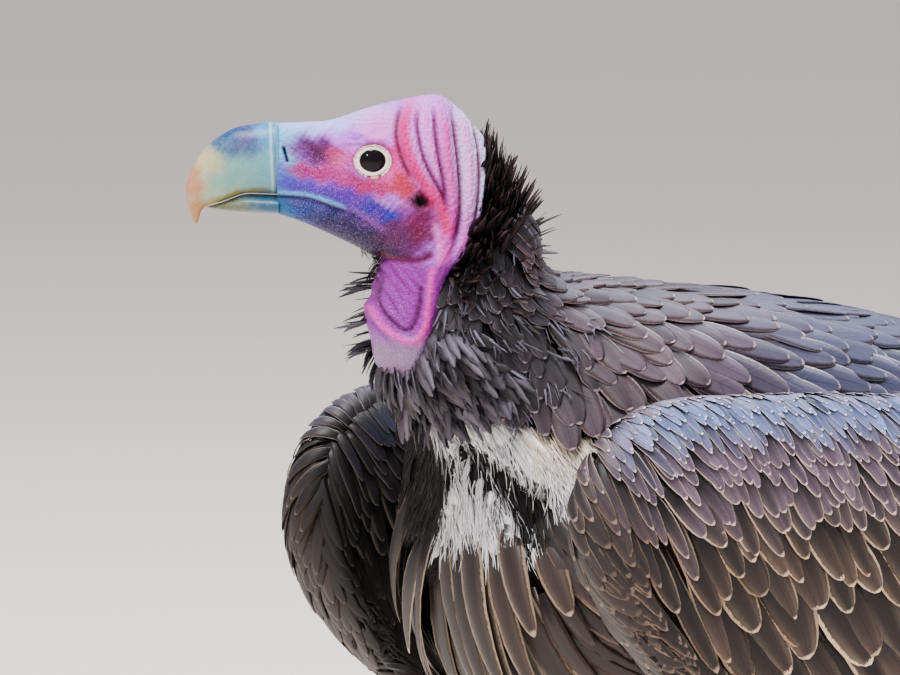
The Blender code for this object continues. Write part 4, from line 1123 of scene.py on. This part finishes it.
feather_look = plume_look("feather", 0.80, 0.25, 0.94)
for word, side in SIDES:
    for place_word, face in (("outer", 1), ("inner", -1)):
        s_at, q = wing_rows(face, 0.99, lambda r: 0.0085 + 0.20 * np.clip(r - 0.018, 0, 0.10),
                            lambda r: 0.0032 + 0.100 * np.clip(r - 0.018, 0, 0.09), -0.020 if face == 1 else 0.012)
        low = np.clip(np.abs(q) - 0.018, 0, 0.10)
        hand = eased((s_at - 4.3) / 1.2)
        left_out = hand * (0.40 + 0.36 * eased((np.abs(q) - 0.022) / 0.012) - 5.0 * low)
        keep = chance.uniform(0, 1, len(q)) < 1 - left_out
        s_at, q, low, hand = s_at[keep], q[keep], low[keep], hand[keep]
        half = np.maximum(0.0032 + 0.100 * low, (0.0070 if side > 0 else 0.0052) * hand)
        half *= chance.normal(1, 0.09, len(q))
        long = (0.027 + 0.42 * low + 0.018 * hand) * chance.normal(1, 0.11, len(q))
        swept = (1.0 if side > 0 else 1.3) - 0.45 * eased(low / 0.06)
        heading = -0.16 + 1.06 * hand * swept * (1 - eased((s_at - HAND_END + 1.6) / 1.3))
        lines, up = down_lines(side, face, q, s_at, heading, long, 9)
        low = np.abs(q)[:, None]
        centre = shades(len(q), rgb(36, 28, 27), rgb(72, 58, 52))
        middle = 1 - eased((low[:, 0] - 0.030) / 0.040)
        centre = tint(centre, middle * (1 - hand), rgb(100, 86, 103))
        centre = tint(centre, 0.7 * middle * hand, rgb(50, 42, 44))
        # Painted sheen: a blue-white tint on the top rows' centres, where they face up to the light, fading towards
        # the hand.
        top = 1 - eased((s_at - 4.1) / 0.9)
        centre = tint(centre, 0.9 * (1 - eased((low[:, 0] - 0.002) / 0.022)) * top, rgb(104, 122, 178))
        edge = shades(len(q), rgb(196, 164, 136), rgb(230, 204, 176))
        edge = tint(edge, middle * (1 - hand), rgb(216, 192, 194))
        edge = tint(edge, hand * (0.92 - 0.5 * eased(low[:, 0] / 0.05)), rgb(74, 62, 58))
        # Painted sheen on the top rows' edges too.
        edge = tint(edge, (1 - eased((low[:, 0] - 0.002) / 0.022)) * top, rgb(206, 218, 255))
        # Darker over the hand. The inner faces and the far (right) wing are darkened further as painted shade.
        dim = 1 - 0.25 * hand
        dim = (dim * (0.30 if face < 0 else 1.0) * (0.50 if side < 0 else 1.0))[:, None]
        centre, edge = centre * dim, edge * dim * (1.0 if side > 0 else 0.7)
        kinds = {"line": lines, "up": up, "half": half, "centre": varied(centre, 0.26), "edge": varied(edge, 0.16),
                 "arch": np.full(len(q), 0.14), "roll": chance.normal(0.03, 0.08, len(q)),
                 "root": np.stack([0.62 + 0.018 * s_at, 0.25 * (side > 0) + 0.25 + 0.9 * q], -1)}
        coverts = make_vanes(f"coverts_{word}_{place_word}", feather_look, "covert", kinds, 5, 0.012)

# ================================================================ flight feathers
# Stiff dark quills: eighteen from each arm, ten from each hand folded back under them, and the
# twelve of the wedge-shaped tail. Each overlaps its neighbour like slats.


def facing(up, lines, away_from):
    """The normals, each row of them turned to point away from a place inside."""
    flip = np.sign(np.sum(up * (lines - away_from), -1).mean(1))[:, None, None]
    return up * np.where(flip == 0, 1, flip)


def quill_row(side, s_at, y, z, off, half, bake_row):
    """Quills along places (y, z) of the wing's sheet, off metres from it, each facing away from the bird."""
    lines, under, inside = (sheet_point(y, z, off - deep + 0 * y, side) for deep in (0, 0.001, 0.05))
    return {"line": lines, "up": facing(lines - under, lines, inside), "half": half,
            "root": np.stack([0.62 + 0.018 * s_at, 0.25 * (side > 0) + bake_row + 0 * s_at], -1)}


def quill_paint(count, centre, edge):
    """Nearly even colours and a low arch for a number of quills."""
    return {"centre": varied(np.repeat(centre[None], count, 0), 0.12),
            "edge": varied(np.repeat(edge[None], count, 0), 0.1), "arch": np.full(count, 0.10)}


flight_look = plume_look("flight_feather", 0.92, 0.35, 0.0)
HAND_LEAN = math.radians(70)  # of the hand's quills, from upright
for word, side in SIDES:
    t = np.linspace(0, 1, 12)
    s_at = np.linspace(0.12, HAND_START - 0.05, 18)
    first, last = coverts_depth(s_at) * 0.55, 0.325 - 0.05 * (s_at / HAND_START) ** 2
    y, z = down_wing(s_at[:, None] + 0 * t, first[:, None] + (last - first)[:, None] * t)
    arm_quills = quill_row(side, s_at, y, z, 0.0050 - 0.0020 * t, np.full(18, 0.0185), 0.46)
    share = (np.arange(10) + 0.5) / 10
    s_at = HAND_START + (HAND_END - HAND_START) * share
    y0, z0 = down_wing(s_at, coverts_depth(s_at) * 0.8)
    long = (0.24 + (0.60 - 0.038 - 0.24) * np.sin(share * math.pi * 0.56))[:, None] * t
    y, z = y0[:, None] + long * math.sin(HAND_LEAN), z0[:, None] - long * math.cos(HAND_LEAN)
    off = -0.0040 - 0.0060 * np.minimum(1, 4 * t)
    hand_quills = quill_row(side, s_at, y, z, off, np.linspace(0.015, 0.0135, 10), 0.47)
    quills = {**stack(arm_quills, hand_quills), **quill_paint(28, rgb(62, 50, 47), rgb(112, 92, 78)),
              "roll": np.full(28, 0.16 * side)}
    flight = make_vanes(f"flight_feathers_{word}", flight_look, "quill", quills, 5, 0.01)
    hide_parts(f"wing_{word}_secondaries", f"wing_{word}_primaries")

share = np.linspace(-1, 1, 12)[:, None]
t = np.linspace(0, 1, 12)[None]
long = 0.275 * (1 - 0.13 * share**2)
fan, slope = share * math.radians(13), math.radians(19)
out = share * 0.048 + long * t * np.sin(fan)
back = -0.045 * (1 - t) ** 4 + long * t * np.cos(fan)
z = 0.3820 - back * math.sin(slope) - 0.012 * share**2 - 0.02 * t * share**2
lines = np.stack([out, 0.3640 + back * math.cos(slope), z + 0.0015 * (1 - np.abs(share))], -1) + SHIFT
tail_quills = {"line": lines, "up": np.broadcast_to((0, 0.3, 1.0), lines.shape), "half": np.full(12, 0.0150),
               **quill_paint(12, rgb(58, 47, 44), rgb(104, 86, 74)), "roll": 0.14 * np.sign(share[:, 0]),
               "root": np.stack([0.55 + 0 * share[:, 0], 0.5 + 0.08 * share[:, 0]], -1)}
tail = make_vanes("tail_feathers", flight_look, "quill", tail_quills, 5, 0.01)
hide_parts("tail")

# ================================================================ feathers of the trunk and neck
# Overlapping feathers set close all over the body. Scale-like and mauve-brown on the neck's root and
# the mantle, long over the shoulders, loose and grizzled on the lower neck, plain brown behind.


def thinned(places, points, gap):
    """Keeps places so that none lies within the gap of one kept before it."""
    kept, left = [], np.arange(len(points))
    while len(left):
        first = left[0]
        kept.append(first)
        left = left[np.linalg.norm(points[left] - points[first], axis=1) > gap[first]]
    return places[np.array(kept)]


def body_places(low, high, gap, wanted, tries, flat=1.0):
    """Even places (s, v) on the body between two cross-sections where wanted(s, v, points) is true.
    They are drawn at random by area and thinned to a gap, which is a number or a function of s; flat
    shrinks heights for that."""
    s_mid = np.linspace(low, high, 121)
    v_mid = np.linspace(0, 2 * math.pi, 241)
    grid = body(s_mid[:, None] + 0 * v_mid, v_mid[None] + 0 * s_mid[:, None])
    area = np.linalg.norm(np.cross(grid[1:, :-1] - grid[:-1, :-1], grid[:-1, 1:] - grid[:-1, :-1]), axis=-1)
    cell = chance.choice(area.size, tries, p=(area / area.sum()).ravel())
    i, j = np.divmod(cell, area.shape[1])
    places = np.stack([s_mid[i] + chance.uniform(0, 1, tries) * (high - low) / 120,
                       v_mid[j] + chance.uniform(0, 1, tries) * math.pi / 120], -1)
    s, v = places.T
    points = body(s, v) - SHIFT
    keep = wanted(s, v, points)
    gaps = gap(s) if callable(gap) else np.full(len(s), gap)
    return thinned(places[keep], points[keep] * (1, 1, flat), gaps[keep])


def ring_places(low, high, half_of, pitch, wanted):
    """Staggered places (s, v) in rings round the body. Rings are pitch half widths apart along its side,
    and feathers of a ring 1.7 half widths apart. Each is moved a little by chance."""
    fine = np.linspace(low, high, 900)
    apart = np.linalg.norm(np.diff(body(fine, np.full(900, 1.3)), axis=0), axis=1)
    run = np.append(0, np.cumsum(apart / half_of(fine[1:])))
    places = []
    for row, s in enumerate(np.interp(np.arange(0, run[-1], pitch), run, fine)):
        round_ = np.linspace(0, 2 * math.pi, 721)
        ring = body(np.full(721, s), round_)
        arc = np.append(0, np.cumsum(np.linalg.norm(np.diff(ring, axis=0), axis=1)))
        count = int(arc[-1] / (1.7 * half_of(s)))
        at = np.interp((np.arange(count) + 0.5 * (row % 2)) / count * arc[-1], arc, round_)
        places.append(np.stack([np.full(count, s), at], -1))
    places = np.concatenate(places)
    places += chance.normal(0, 1, places.shape) * (0.035, 0.022)
    return places[wanted(*places.T, body(*places.T) - SHIFT)]


def body_feathers(name, look_, shape, places, half, long, heading, sunk, rise, colours, arch=0.16,
                  roll=0.08, columns=3, rows=7, ragged=0.03, slot_name="plumage", soft=0.12):
    """A coat piece on the body. Its feathers start sunk under the outline and rise along their length."""
    s_at, v_at = places.T
    deep = np.broadcast_to(sunk, len(s_at))

    def surface(s, v):
        return body(s, v, -(deep[:, None] if s.ndim == 2 else deep) - dips(s, v))

    lines, up = across_surface(surface, s_at, v_at, heading, long, body(s_at, v_at, -0.03)[:, None],
                               lambda t: rise[0] + rise[1] * t ** rise[2], rows)
    return coat(name, look_, shape, places, lines, up, half, colours, arch, roll, columns, ragged, slot_name, soft)


def coat(name, look_, shape, places, lines, up, half, colours, arch, roll, columns, ragged, slot_name, soft):
    """Vanes on the given centrelines, each with its bake patch at its root's place on the body."""
    (s_at, v_at), count = places.T, len(places)
    kinds = {"line": lines, "up": up, "half": np.broadcast_to(half, count), "centre": varied(colours[0], soft),
             "edge": varied(colours[1], soft), "arch": np.full(count, arch), "roll": chance.normal(0, roll, count),
             "root": np.stack([0.02 + s_at * 0.026, 0.02 + 0.95 * (v_at % (2 * math.pi)) / (2 * math.pi)], -1)}
    made = make_vanes(name, look_, shape, kinds, columns, ragged)
    return made


def standing(places, sunk, long, first, last, swing, rows=8):
    """Centrelines that leave the body. Each sets off at the angle first from the direction down the neck
    (90 degrees is straight out) and bends to the angle last, swung sideways by swing."""
    s_at, v_at = places.T
    base = body(s_at, v_at, -np.broadcast_to(sunk, len(s_at)))
    down = unit(body(s_at + 1e-3, v_at) - body(s_at, v_at))
    side = unit(body(s_at, v_at + 1e-3) - body(s_at, v_at))
    out = unit(np.cross(down, side))
    out *= np.sign(np.sum(out * (base - body(s_at, v_at, -0.03)), -1, keepdims=True))
    side = np.cross(out, down)
    t = steps(rows)
    angle = (first[:, None] * (1 - t) + last[:, None] * t)[..., None]
    way = down[:, None] * np.cos(angle) + out[:, None] * np.sin(angle) + side[:, None] * swing[:, None, None]
    step = np.diff(t, prepend=0)[None, :, None] * long[:, None, None]
    lines = base[:, None] + np.cumsum(unit(way) * step, 1)
    return lines, np.cross(unit(way), np.broadcast_to(side[:, None], way.shape)) * -1


def side_of(v):
    """1 on the bird's left, -1 on its right."""
    return np.where(np.sin(v) >= 0, 1.0, -1.0)


def downy(p):
    """The breast's down: the front of the trunk under the neck's feathers, seen from in front."""
    x, y, z = p[:, 0], p[:, 1], p[:, 2]
    return (y < -0.098) & (z < 0.466 - 0.22 * np.abs(x) + 0.010 * eased((0.02 - x) / 0.03)) & (z > 0.33)


def plumage(s, v, p):
    """Where the trunk's and neck's own feathers grow: not on bare skin, nor on the breast's down."""
    return (feathered(s, v) > 0.85) & ~downy(p - (0, 0, 0.024)) & ~((s > 12.6) & (s < 17) & (np.cos(v) < -0.30))


mantle_look = plume_look("mantle_feather", 0.87, 0.3, 0.70)
down_look = plume_look("down_feather", 0.95, 0.2, 0.12)
SIZES_S = (8.0, 9.5, 10.5, 12.0, 13.5, 16.0, 18.0, 20.0, 21.0)
SIZES_HALF = (0.0045, 0.0056, 0.0070, 0.0090, 0.0100, 0.0110, 0.0115, 0.0110, 0.0110)
places = ring_places(8.4, 20.8, lambda s: np.interp(s, SIZES_S, SIZES_HALF), 1.25, plumage)
s_at, v_at = places.T
half = np.interp(s_at, SIZES_S, SIZES_HALF) * chance.normal(1.04, 0.07, len(s_at))
long = half * np.interp(s_at, (8, 12, 13.2, 15, 21), (4.2, 3.8, 4.6, 6.0, 6.0))
loose = (1 - eased((s_at - 11.0) / 1.0)) * eased((np.cos(v_at) * -1 + 0.75) / 0.4)
droop = np.interp(s_at, (9, 12, 16, 21), (0.05, 0.20, 0.22, 0.05)) * np.abs(np.sin(v_at)) + 0.40 * loose
heading = side_of(v_at) * droop + chance.normal(0, 0.10 + 0.22 * loose, len(s_at))
# Painted sheen: the blue tint on the feathers over the shoulders.
blue = 0.8 * eased((s_at - 12.6) / 2) * (1 - 0.8 * eased((s_at - 16.5) / 2))
centre = tint(shades(len(s_at), rgb(50, 40, 47), rgb(84, 68, 80)), blue, rgb(72, 76, 106))
edge = tint(shades(len(s_at), rgb(160, 134, 144), rgb(206, 182, 182)), eased((s_at - 13) / 3), rgb(168, 162, 176))
centre = tint(centre, loose * 0.9, rgb(36, 31, 36))
edge = tint(edge, loose * 0.8, rgb(112, 110, 126))
body_feathers("mantle_feathers", mantle_look, "scale", places, half * (1 - 0.12 * loose), long * (1 + 0.10 * loose),
              heading, 0.0070 + 0.002 * loose, (0.0005, 0.0068, 0.8), (centre, edge), arch=0.12, columns=5, rows=10,
              ragged=0.012 + 0.10 * loose)

# ================================================================ ruff
# Dark lance-shaped feathers of the nape. They stand out from the neck, point up behind the head and
# turn outwards lower down. A few tufts stand on the far side, wisps lie over the neck's sides, and
# dark fluff fills the throat under the bare skin.
places = body_places(6.1, 10.4, lambda s: 0.0036 + 0.0010 * (s > 9), lambda s, v, p: feathered(s, v) > 0.62, 14000)
places = places[(places[:, 0] < 9.4) | (np.cos(places[:, 1]) > 0.1)]
(s_at, v_at), count = places.T, len(places)
long = np.interp(s_at, (6, 7, 8.5, 9.3, 9.7, 10.4), (0.009, 0.018, 0.023, 0.016, 0.018, 0.020))
long *= chance.normal(1, 0.16, count)
front = eased((0.1 - np.cos(v_at)) / 0.5)
far = front * (np.sin(v_at) < 0)
long *= 1 - 0.35 * front + 0.45 * far
first = np.interp(s_at, (6, 7.5, 8.8, 9.3, 9.8, 10.4), (2.95, 2.80, 2.55, 1.9, 0.7, 0.35))
first += chance.normal(0, 0.12, count)
first = first * (1 - front) + front * (np.minimum(first, 0.75) + 0.7 * far)
first -= 0.60 * (1 - front) * (1 - feathered(s_at - 0.9, v_at)) * np.abs(np.sin(v_at))
clothed = feathered(s_at, v_at)
lines, up = standing(places, coat_depth(s_at) * clothed * 0.85, long * np.interp(clothed, (0.6, 1), (0.6, 1.15)),
                     first, first * 0.82 + 0.1, chance.normal(0, 0.22, count))
centre = shades(count, rgb(30, 24, 27), rgb(66, 52, 50))
half = np.interp(clothed, (0.6, 1), (0.0008, 0.0023)) * chance.normal(1, 0.2, count)
coat("ruff_spikes", mantle_look, "spike", places, lines, up, half, (centre, centre * 1.7), 0.3, 0.3, 3, 0.06, "ruff",
     0.25)

fine = np.linspace(5, 11, 200)
far_height = (body(fine, np.full(200, math.pi + 0.5)) - SHIFT)[:, 2]
clumps = np.repeat(np.interp((-0.533, -0.515, -0.497), -far_height, fine), 11)
places = np.stack([clumps, np.full(33, math.pi + 0.45)], -1) + chance.normal(0, 1, (33, 2)) * (0.05, 0.16)
lines, up = standing(places, 0.001, 0.018 * chance.normal(1, 0.16, 33), 1.45 + chance.normal(0, 0.2, 33),
                     1.15 + chance.normal(0, 0.2, 33), chance.normal(0, 0.2, 33))
centre = shades(33, rgb(40, 38, 46), rgb(96, 90, 100))
coat("far_tufts", down_look, "lance", places, lines, up, 0.0024 * chance.normal(1, 0.2, 33), (centre, centre * 1.3),
     0.3, 0.3, 3, 0.15, "ruff", 0.2)

places = body_places(8.8, 12.2, 0.0030,
                     lambda s, v, p: (feathered(s, v) > 0.5) & ~downy(p) & (np.cos(v) < 0.55), 14000)
s_at, v_at = places.T
places = places[np.sin(s_at * 9 + 3 * np.sin(v_at * 4)) + np.sin(v_at * 17 + s_at * 4) > 0.9]
(s_at, v_at), count = places.T, len(places)
centre = shades(count, rgb(58, 51, 58), rgb(108, 106, 122))
body_feathers("neck_tufts", down_look, "wisp", places, 0.0008 * chance.normal(1, 0.2, count),
              0.010 * chance.normal(1, 0.2, count), 0.35 * side_of(v_at) + chance.normal(0, 0.35, count), 0.0020,
              (0.0, 0.0045, 1.0), (centre, centre * 1.25), arch=0.3, roll=0.4, slot_name="ruff", soft=0.2, rows=6,
              ragged=0.2)

places = body_places(8.6, 11.2, 0.0034,
                     lambda s, v, p: (np.cos(v) < -0.35) & (p[:, 2] > 0.452)
                     & (p[:, 2] < 0.488 + 0.020 * eased((np.cos(v) + 0.92) / 0.3)), 8000)
(s_at, v_at), count = places.T, len(places)
long = 0.024 * chance.normal(1, 0.15, count)
lines, up = standing(places, 0.003, long, 0.85 + chance.normal(0, 0.15, count), 0.25 + chance.normal(0, 0.15, count),
                     chance.normal(0, 0.25, count))
centre = shades(count, rgb(38, 33, 38), rgb(92, 86, 98))
coat("throat_fluff", down_look, "lance", places, lines, up, 0.0029 * chance.normal(1, 0.2, count),
     (centre, centre * 1.5), 0.22, 0.3, 3, 0.22, "ruff", 0.2)

# ================================================================ breast
# White and cream down round the dark dip of the crop: broad soft feathers under fine wisps. Long
# brown lance-shaped feathers with pale edges hang below it and beside the wings.
plume_wide_look = plume_look("breast_plume", 0.78, 0.3, 0.35)


def brown_and_shaded_side(p):
    """1 where the breast is painted dark brown, on the far side beside the wing: brown side feathers with
    painted shade between breast and wing. 0 where it is white or cream.
    """
    bound = np.interp(p[:, 2], (0.36, 0.372, 0.385, 0.397, 0.410, 0.419, 0.424, 0.436, 0.444, 0.456),
                      (-0.020, -0.012, -0.004, 0.002, 0.006, 0.018, 0.016, 0.004, -0.004, -0.014))
    return 1 - eased((p[:, 0] - bound + 0.003) / 0.006)


def breast_colour(p, white):
    """White, cream high up beside the near wing, black in the crop's dip and dark brown on the far side,
    the last two partly painted shade.
    """
    cream = eased((p[:, 0] - 0.052) / 0.02) * eased((p[:, 2] - 0.418) / 0.02)
    colour = tint(white, cream * 0.75, rgb(222, 196, 160))
    # Black in the crop's dip: its dark feathers, with painted shade in the hollow.
    colour = tint(colour, crop_share(p), rgb(12, 10, 11))
    # Dark brown on the far side: brown feathers, with painted shade beside the wing.
    return tint(colour, brown_and_shaded_side(p), rgb(34, 29, 31))


for name, gap, half, long, sunk, rise, shape, ragged in (
        ("breast_under_down", 0.0050, 0.0050, 0.022, 0.0070, 0.0030, "scale", 0.10),
        ("breast_down", 0.0020, 0.00055, 0.028, 0.0050, 0.0045, "wisp", 0.0)):
    places = body_places(10.8, 14.8, gap,
                         lambda s, v, p: downy(p) & (p[:, 2] > 0.388 + 0.007 * np.sin(p[:, 0] * 260)), 40000)
    (s_at, v_at), count = places.T, len(places)
    p = body(s_at, v_at) - SHIFT - (0, 0, 0.45 * long)
    colour = breast_colour(p, shades(count, rgb(216, 216, 224), rgb(246, 246, 250)))
    body_feathers(name, down_look, shape, places, half * chance.normal(1, 0.2, count),
                  long * chance.normal(1, 0.2, count), chance.normal(0, 0.22, count), sunk, (0.0, rise, 0.9),
                  (colour, colour), arch=0.3, roll=0.3, slot_name="down", soft=0.05, rows=6, ragged=ragged)

places = body_places(12.7, 16.0, 0.0098,
                     lambda s, v, p: (np.cos(v) < -0.18) & (p[:, 2] < 0.408) & (p[:, 1] < 0.0), 8000, 0.20)
(s_at, v_at), count = places.T, len(places)
# Painted shade: plumes on the far (right) side are darkened.
dim = 1 - 0.7 * eased((-0.030 - (body(s_at, v_at) - SHIFT)[:, :1]) / 0.03)
centre = shades(count, rgb(28, 21, 20), rgb(50, 38, 35)) * dim
edge = shades(count, rgb(120, 100, 84), rgb(190, 168, 144)) * dim
body_feathers("breast_plumes", plume_wide_look, "lance", places, 0.0092 * chance.normal(1, 0.12, count),
              0.105 * chance.normal(1, 0.12, count), chance.normal(0, 0.10, count), 0.0065, (0.0005, 0.0170, 1.2),
              (centre, edge), columns=5, rows=12, ragged=0.03)

places = body_places(12.2, 15.4, 0.0078,
                     lambda s, v, p: (p[:, 1] < -0.055) & (np.abs(p[:, 0]) > 0.076)
                     & (p[:, 2] < 0.400) & (p[:, 2] > 0.31), 8000)
(s_at, v_at), count = places.T, len(places)
centre = shades(count, rgb(34, 26, 26), rgb(62, 48, 46))
body_feathers("flank_feathers", plume_wide_look, "lance", places, 0.0072 * chance.normal(1, 0.12, count),
              0.066 * chance.normal(1, 0.12, count), chance.normal(0, 0.12, count) - 0.30 * side_of(v_at), 0.004,
              (0.0005, 0.0110, 0.8), (centre, centre * 3.4), columns=5, rows=9, ragged=0.03)

# ================================================================ belly and thighs
# Soft brown feathers under the body, set wide apart, and small loose feathers that make trousers
# down to the heel, brown at the top and pale below.
places = body_places(15.2, 20.6, 0.0125, lambda s, v, p: np.cos(v) < -0.22, 9000)
(s_at, v_at), count = places.T, len(places)
centre = shades(count, rgb(96, 78, 70), rgb(124, 104, 94))
body_feathers("belly_feathers", feather_look, "scale", places, 0.0105, 0.040 * chance.normal(1, 0.1, count),
              chance.normal(0, 0.15, count), 0.006, (0.0005, 0.0070, 0.9), (centre, centre * 1.5), ragged=0.08)


def thigh(side, out=0.007):
    """The thigh's surface: a counts the levels of the leg from its top, b is the angle round them."""
    def surface(a, b):
        level = smooth_rows(LEG, a)
        x = level[..., 0] + (level[..., 3] + out) * np.cos(b)
        y = level[..., 1] + (level[..., 4] + out) * np.sin(b)
        return np.stack([x, y, level[..., 2]], -1) * (side, 1, 1) + SHIFT
    return surface


for word, side in SIDES:
    a, b = chance.uniform(0.1, 4.6, 5000), chance.uniform(0, 2 * math.pi, 5000)
    places = thinned(np.stack([a, b], -1), thigh(side)(a, b), np.interp(a, (0, 3, 5), (0.0080, 0.0062, 0.0040)))
    (a, b), count = places.T, len(places)
    middle = smooth_rows(LEG, a)[:, None, :3] * (side, 1, 1) + SHIFT
    lines, up = across_surface(thigh(side, 0.0), a, b, chance.normal(0, 0.25, count),
                               np.interp(a, (0, 3, 5), (0.030, 0.024, 0.014)), middle,
                               lambda t: 0.001 + 0.0075 * t**0.8, 6)
    centre = tint(shades(count, rgb(112, 94, 84), rgb(150, 132, 118)), eased((a - 2.4) / 1.2), rgb(208, 198, 186))
    kinds = {"line": lines, "up": up, "half": np.interp(a, (0, 3, 5), (0.0062, 0.0048, 0.0026)),
             "centre": varied(centre, 0.12), "edge": varied(centre * 1.35, 0.12),
             "arch": np.full(count, 0.2), "roll": chance.normal(0, 0.2, count),
             "root": np.stack([0.86 + 0.02 * a, 0.05 + 0.4 * (side > 0) + 0.05 * b], -1)}
    trousers = make_vanes(f"thigh_feathers_{word}", feather_look, "lance", kinds, 3, 0.1)

# ================================================================ shoulders
# Broad brown feathers over and under the short upper arm that joins each wing to the trunk. They
# point outwards, so that they run into the wing's coverts.


def shoulder(side, face):
    """The upper arm's top (1) or bottom (-1): a runs outwards in metres, b runs back in metres."""
    def surface(a, b):
        x = 0.070 + a
        thick = np.interp(a, (0, 0.09), (0.024, 0.012)) + 0.001
        high = thick * np.sqrt(1 - np.clip(np.abs(b) / 0.112, 0, 0.95) ** 2)
        return np.stack([x, 0.025 + b, upper_arm_level(x, side) + face * high], -1) * (side, 1, 1) + SHIFT
    return surface


for word, side in SIDES:
    parts = []
    for face in (1, -1):
        a, b = chance.uniform(0.012, 0.080, 1500), chance.uniform(-0.108, 0.085, 1500)
        places = thinned(np.stack([a, b], -1), shoulder(side, face)(a, b), np.full(1500, 0.0085))
        (a, b), count = places.T, len(places)
        lines, up = across_surface(shoulder(side, face), a, b, math.pi / 2 + chance.normal(0, 0.12, count),
                                   0.036 * chance.normal(1, 0.08, count), shoulder(side, -face)(a, b)[:, None],
                                   lambda t: 0.0004 + 0.0050 * t**0.8, 8)
        centre = varied(shades(count, rgb(62, 52, 58), rgb(96, 82, 86)), 0.1)
        parts.append({"line": lines, "up": up, "half": 0.0078 * chance.normal(1, 0.07, count), "centre": centre,
                      "edge": centre * 1.9, "arch": np.full(count, 0.12), "roll": chance.normal(0, 0.06, count),
                      "root": np.stack([0.62 + 0.5 * a, 0.85 + 0.07 * (side > 0) + 0.3 * b * face], -1)})
    sleeve = make_vanes(f"shoulder_feathers_{word}", mantle_look, "scale", stack(*parts), 5, 0.012)

# ================================================================ bristles
# Thin short black bristles under the chin and the throat's front, which point back down the neck
# and a little off the skin.
places = body_places(3.0, 6.2, 0.0020, lambda s, v, p: np.cos(v) < -0.90, 3000)
(s_at, v_at), count = places.T, len(places)
black = np.repeat(rgb(20, 16, 20)[None], count, 0)
body_feathers("chin_bristles", feather_look, "wisp", places, 0.00034, 0.0085 * chance.normal(1, 0.2, count),
              chance.normal(0, 0.3, count), 0.0005, (0.0, 0.0050, 1.0), (black, black), slot_name="ruff", soft=0.1,
              rows=5)

low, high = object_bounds()
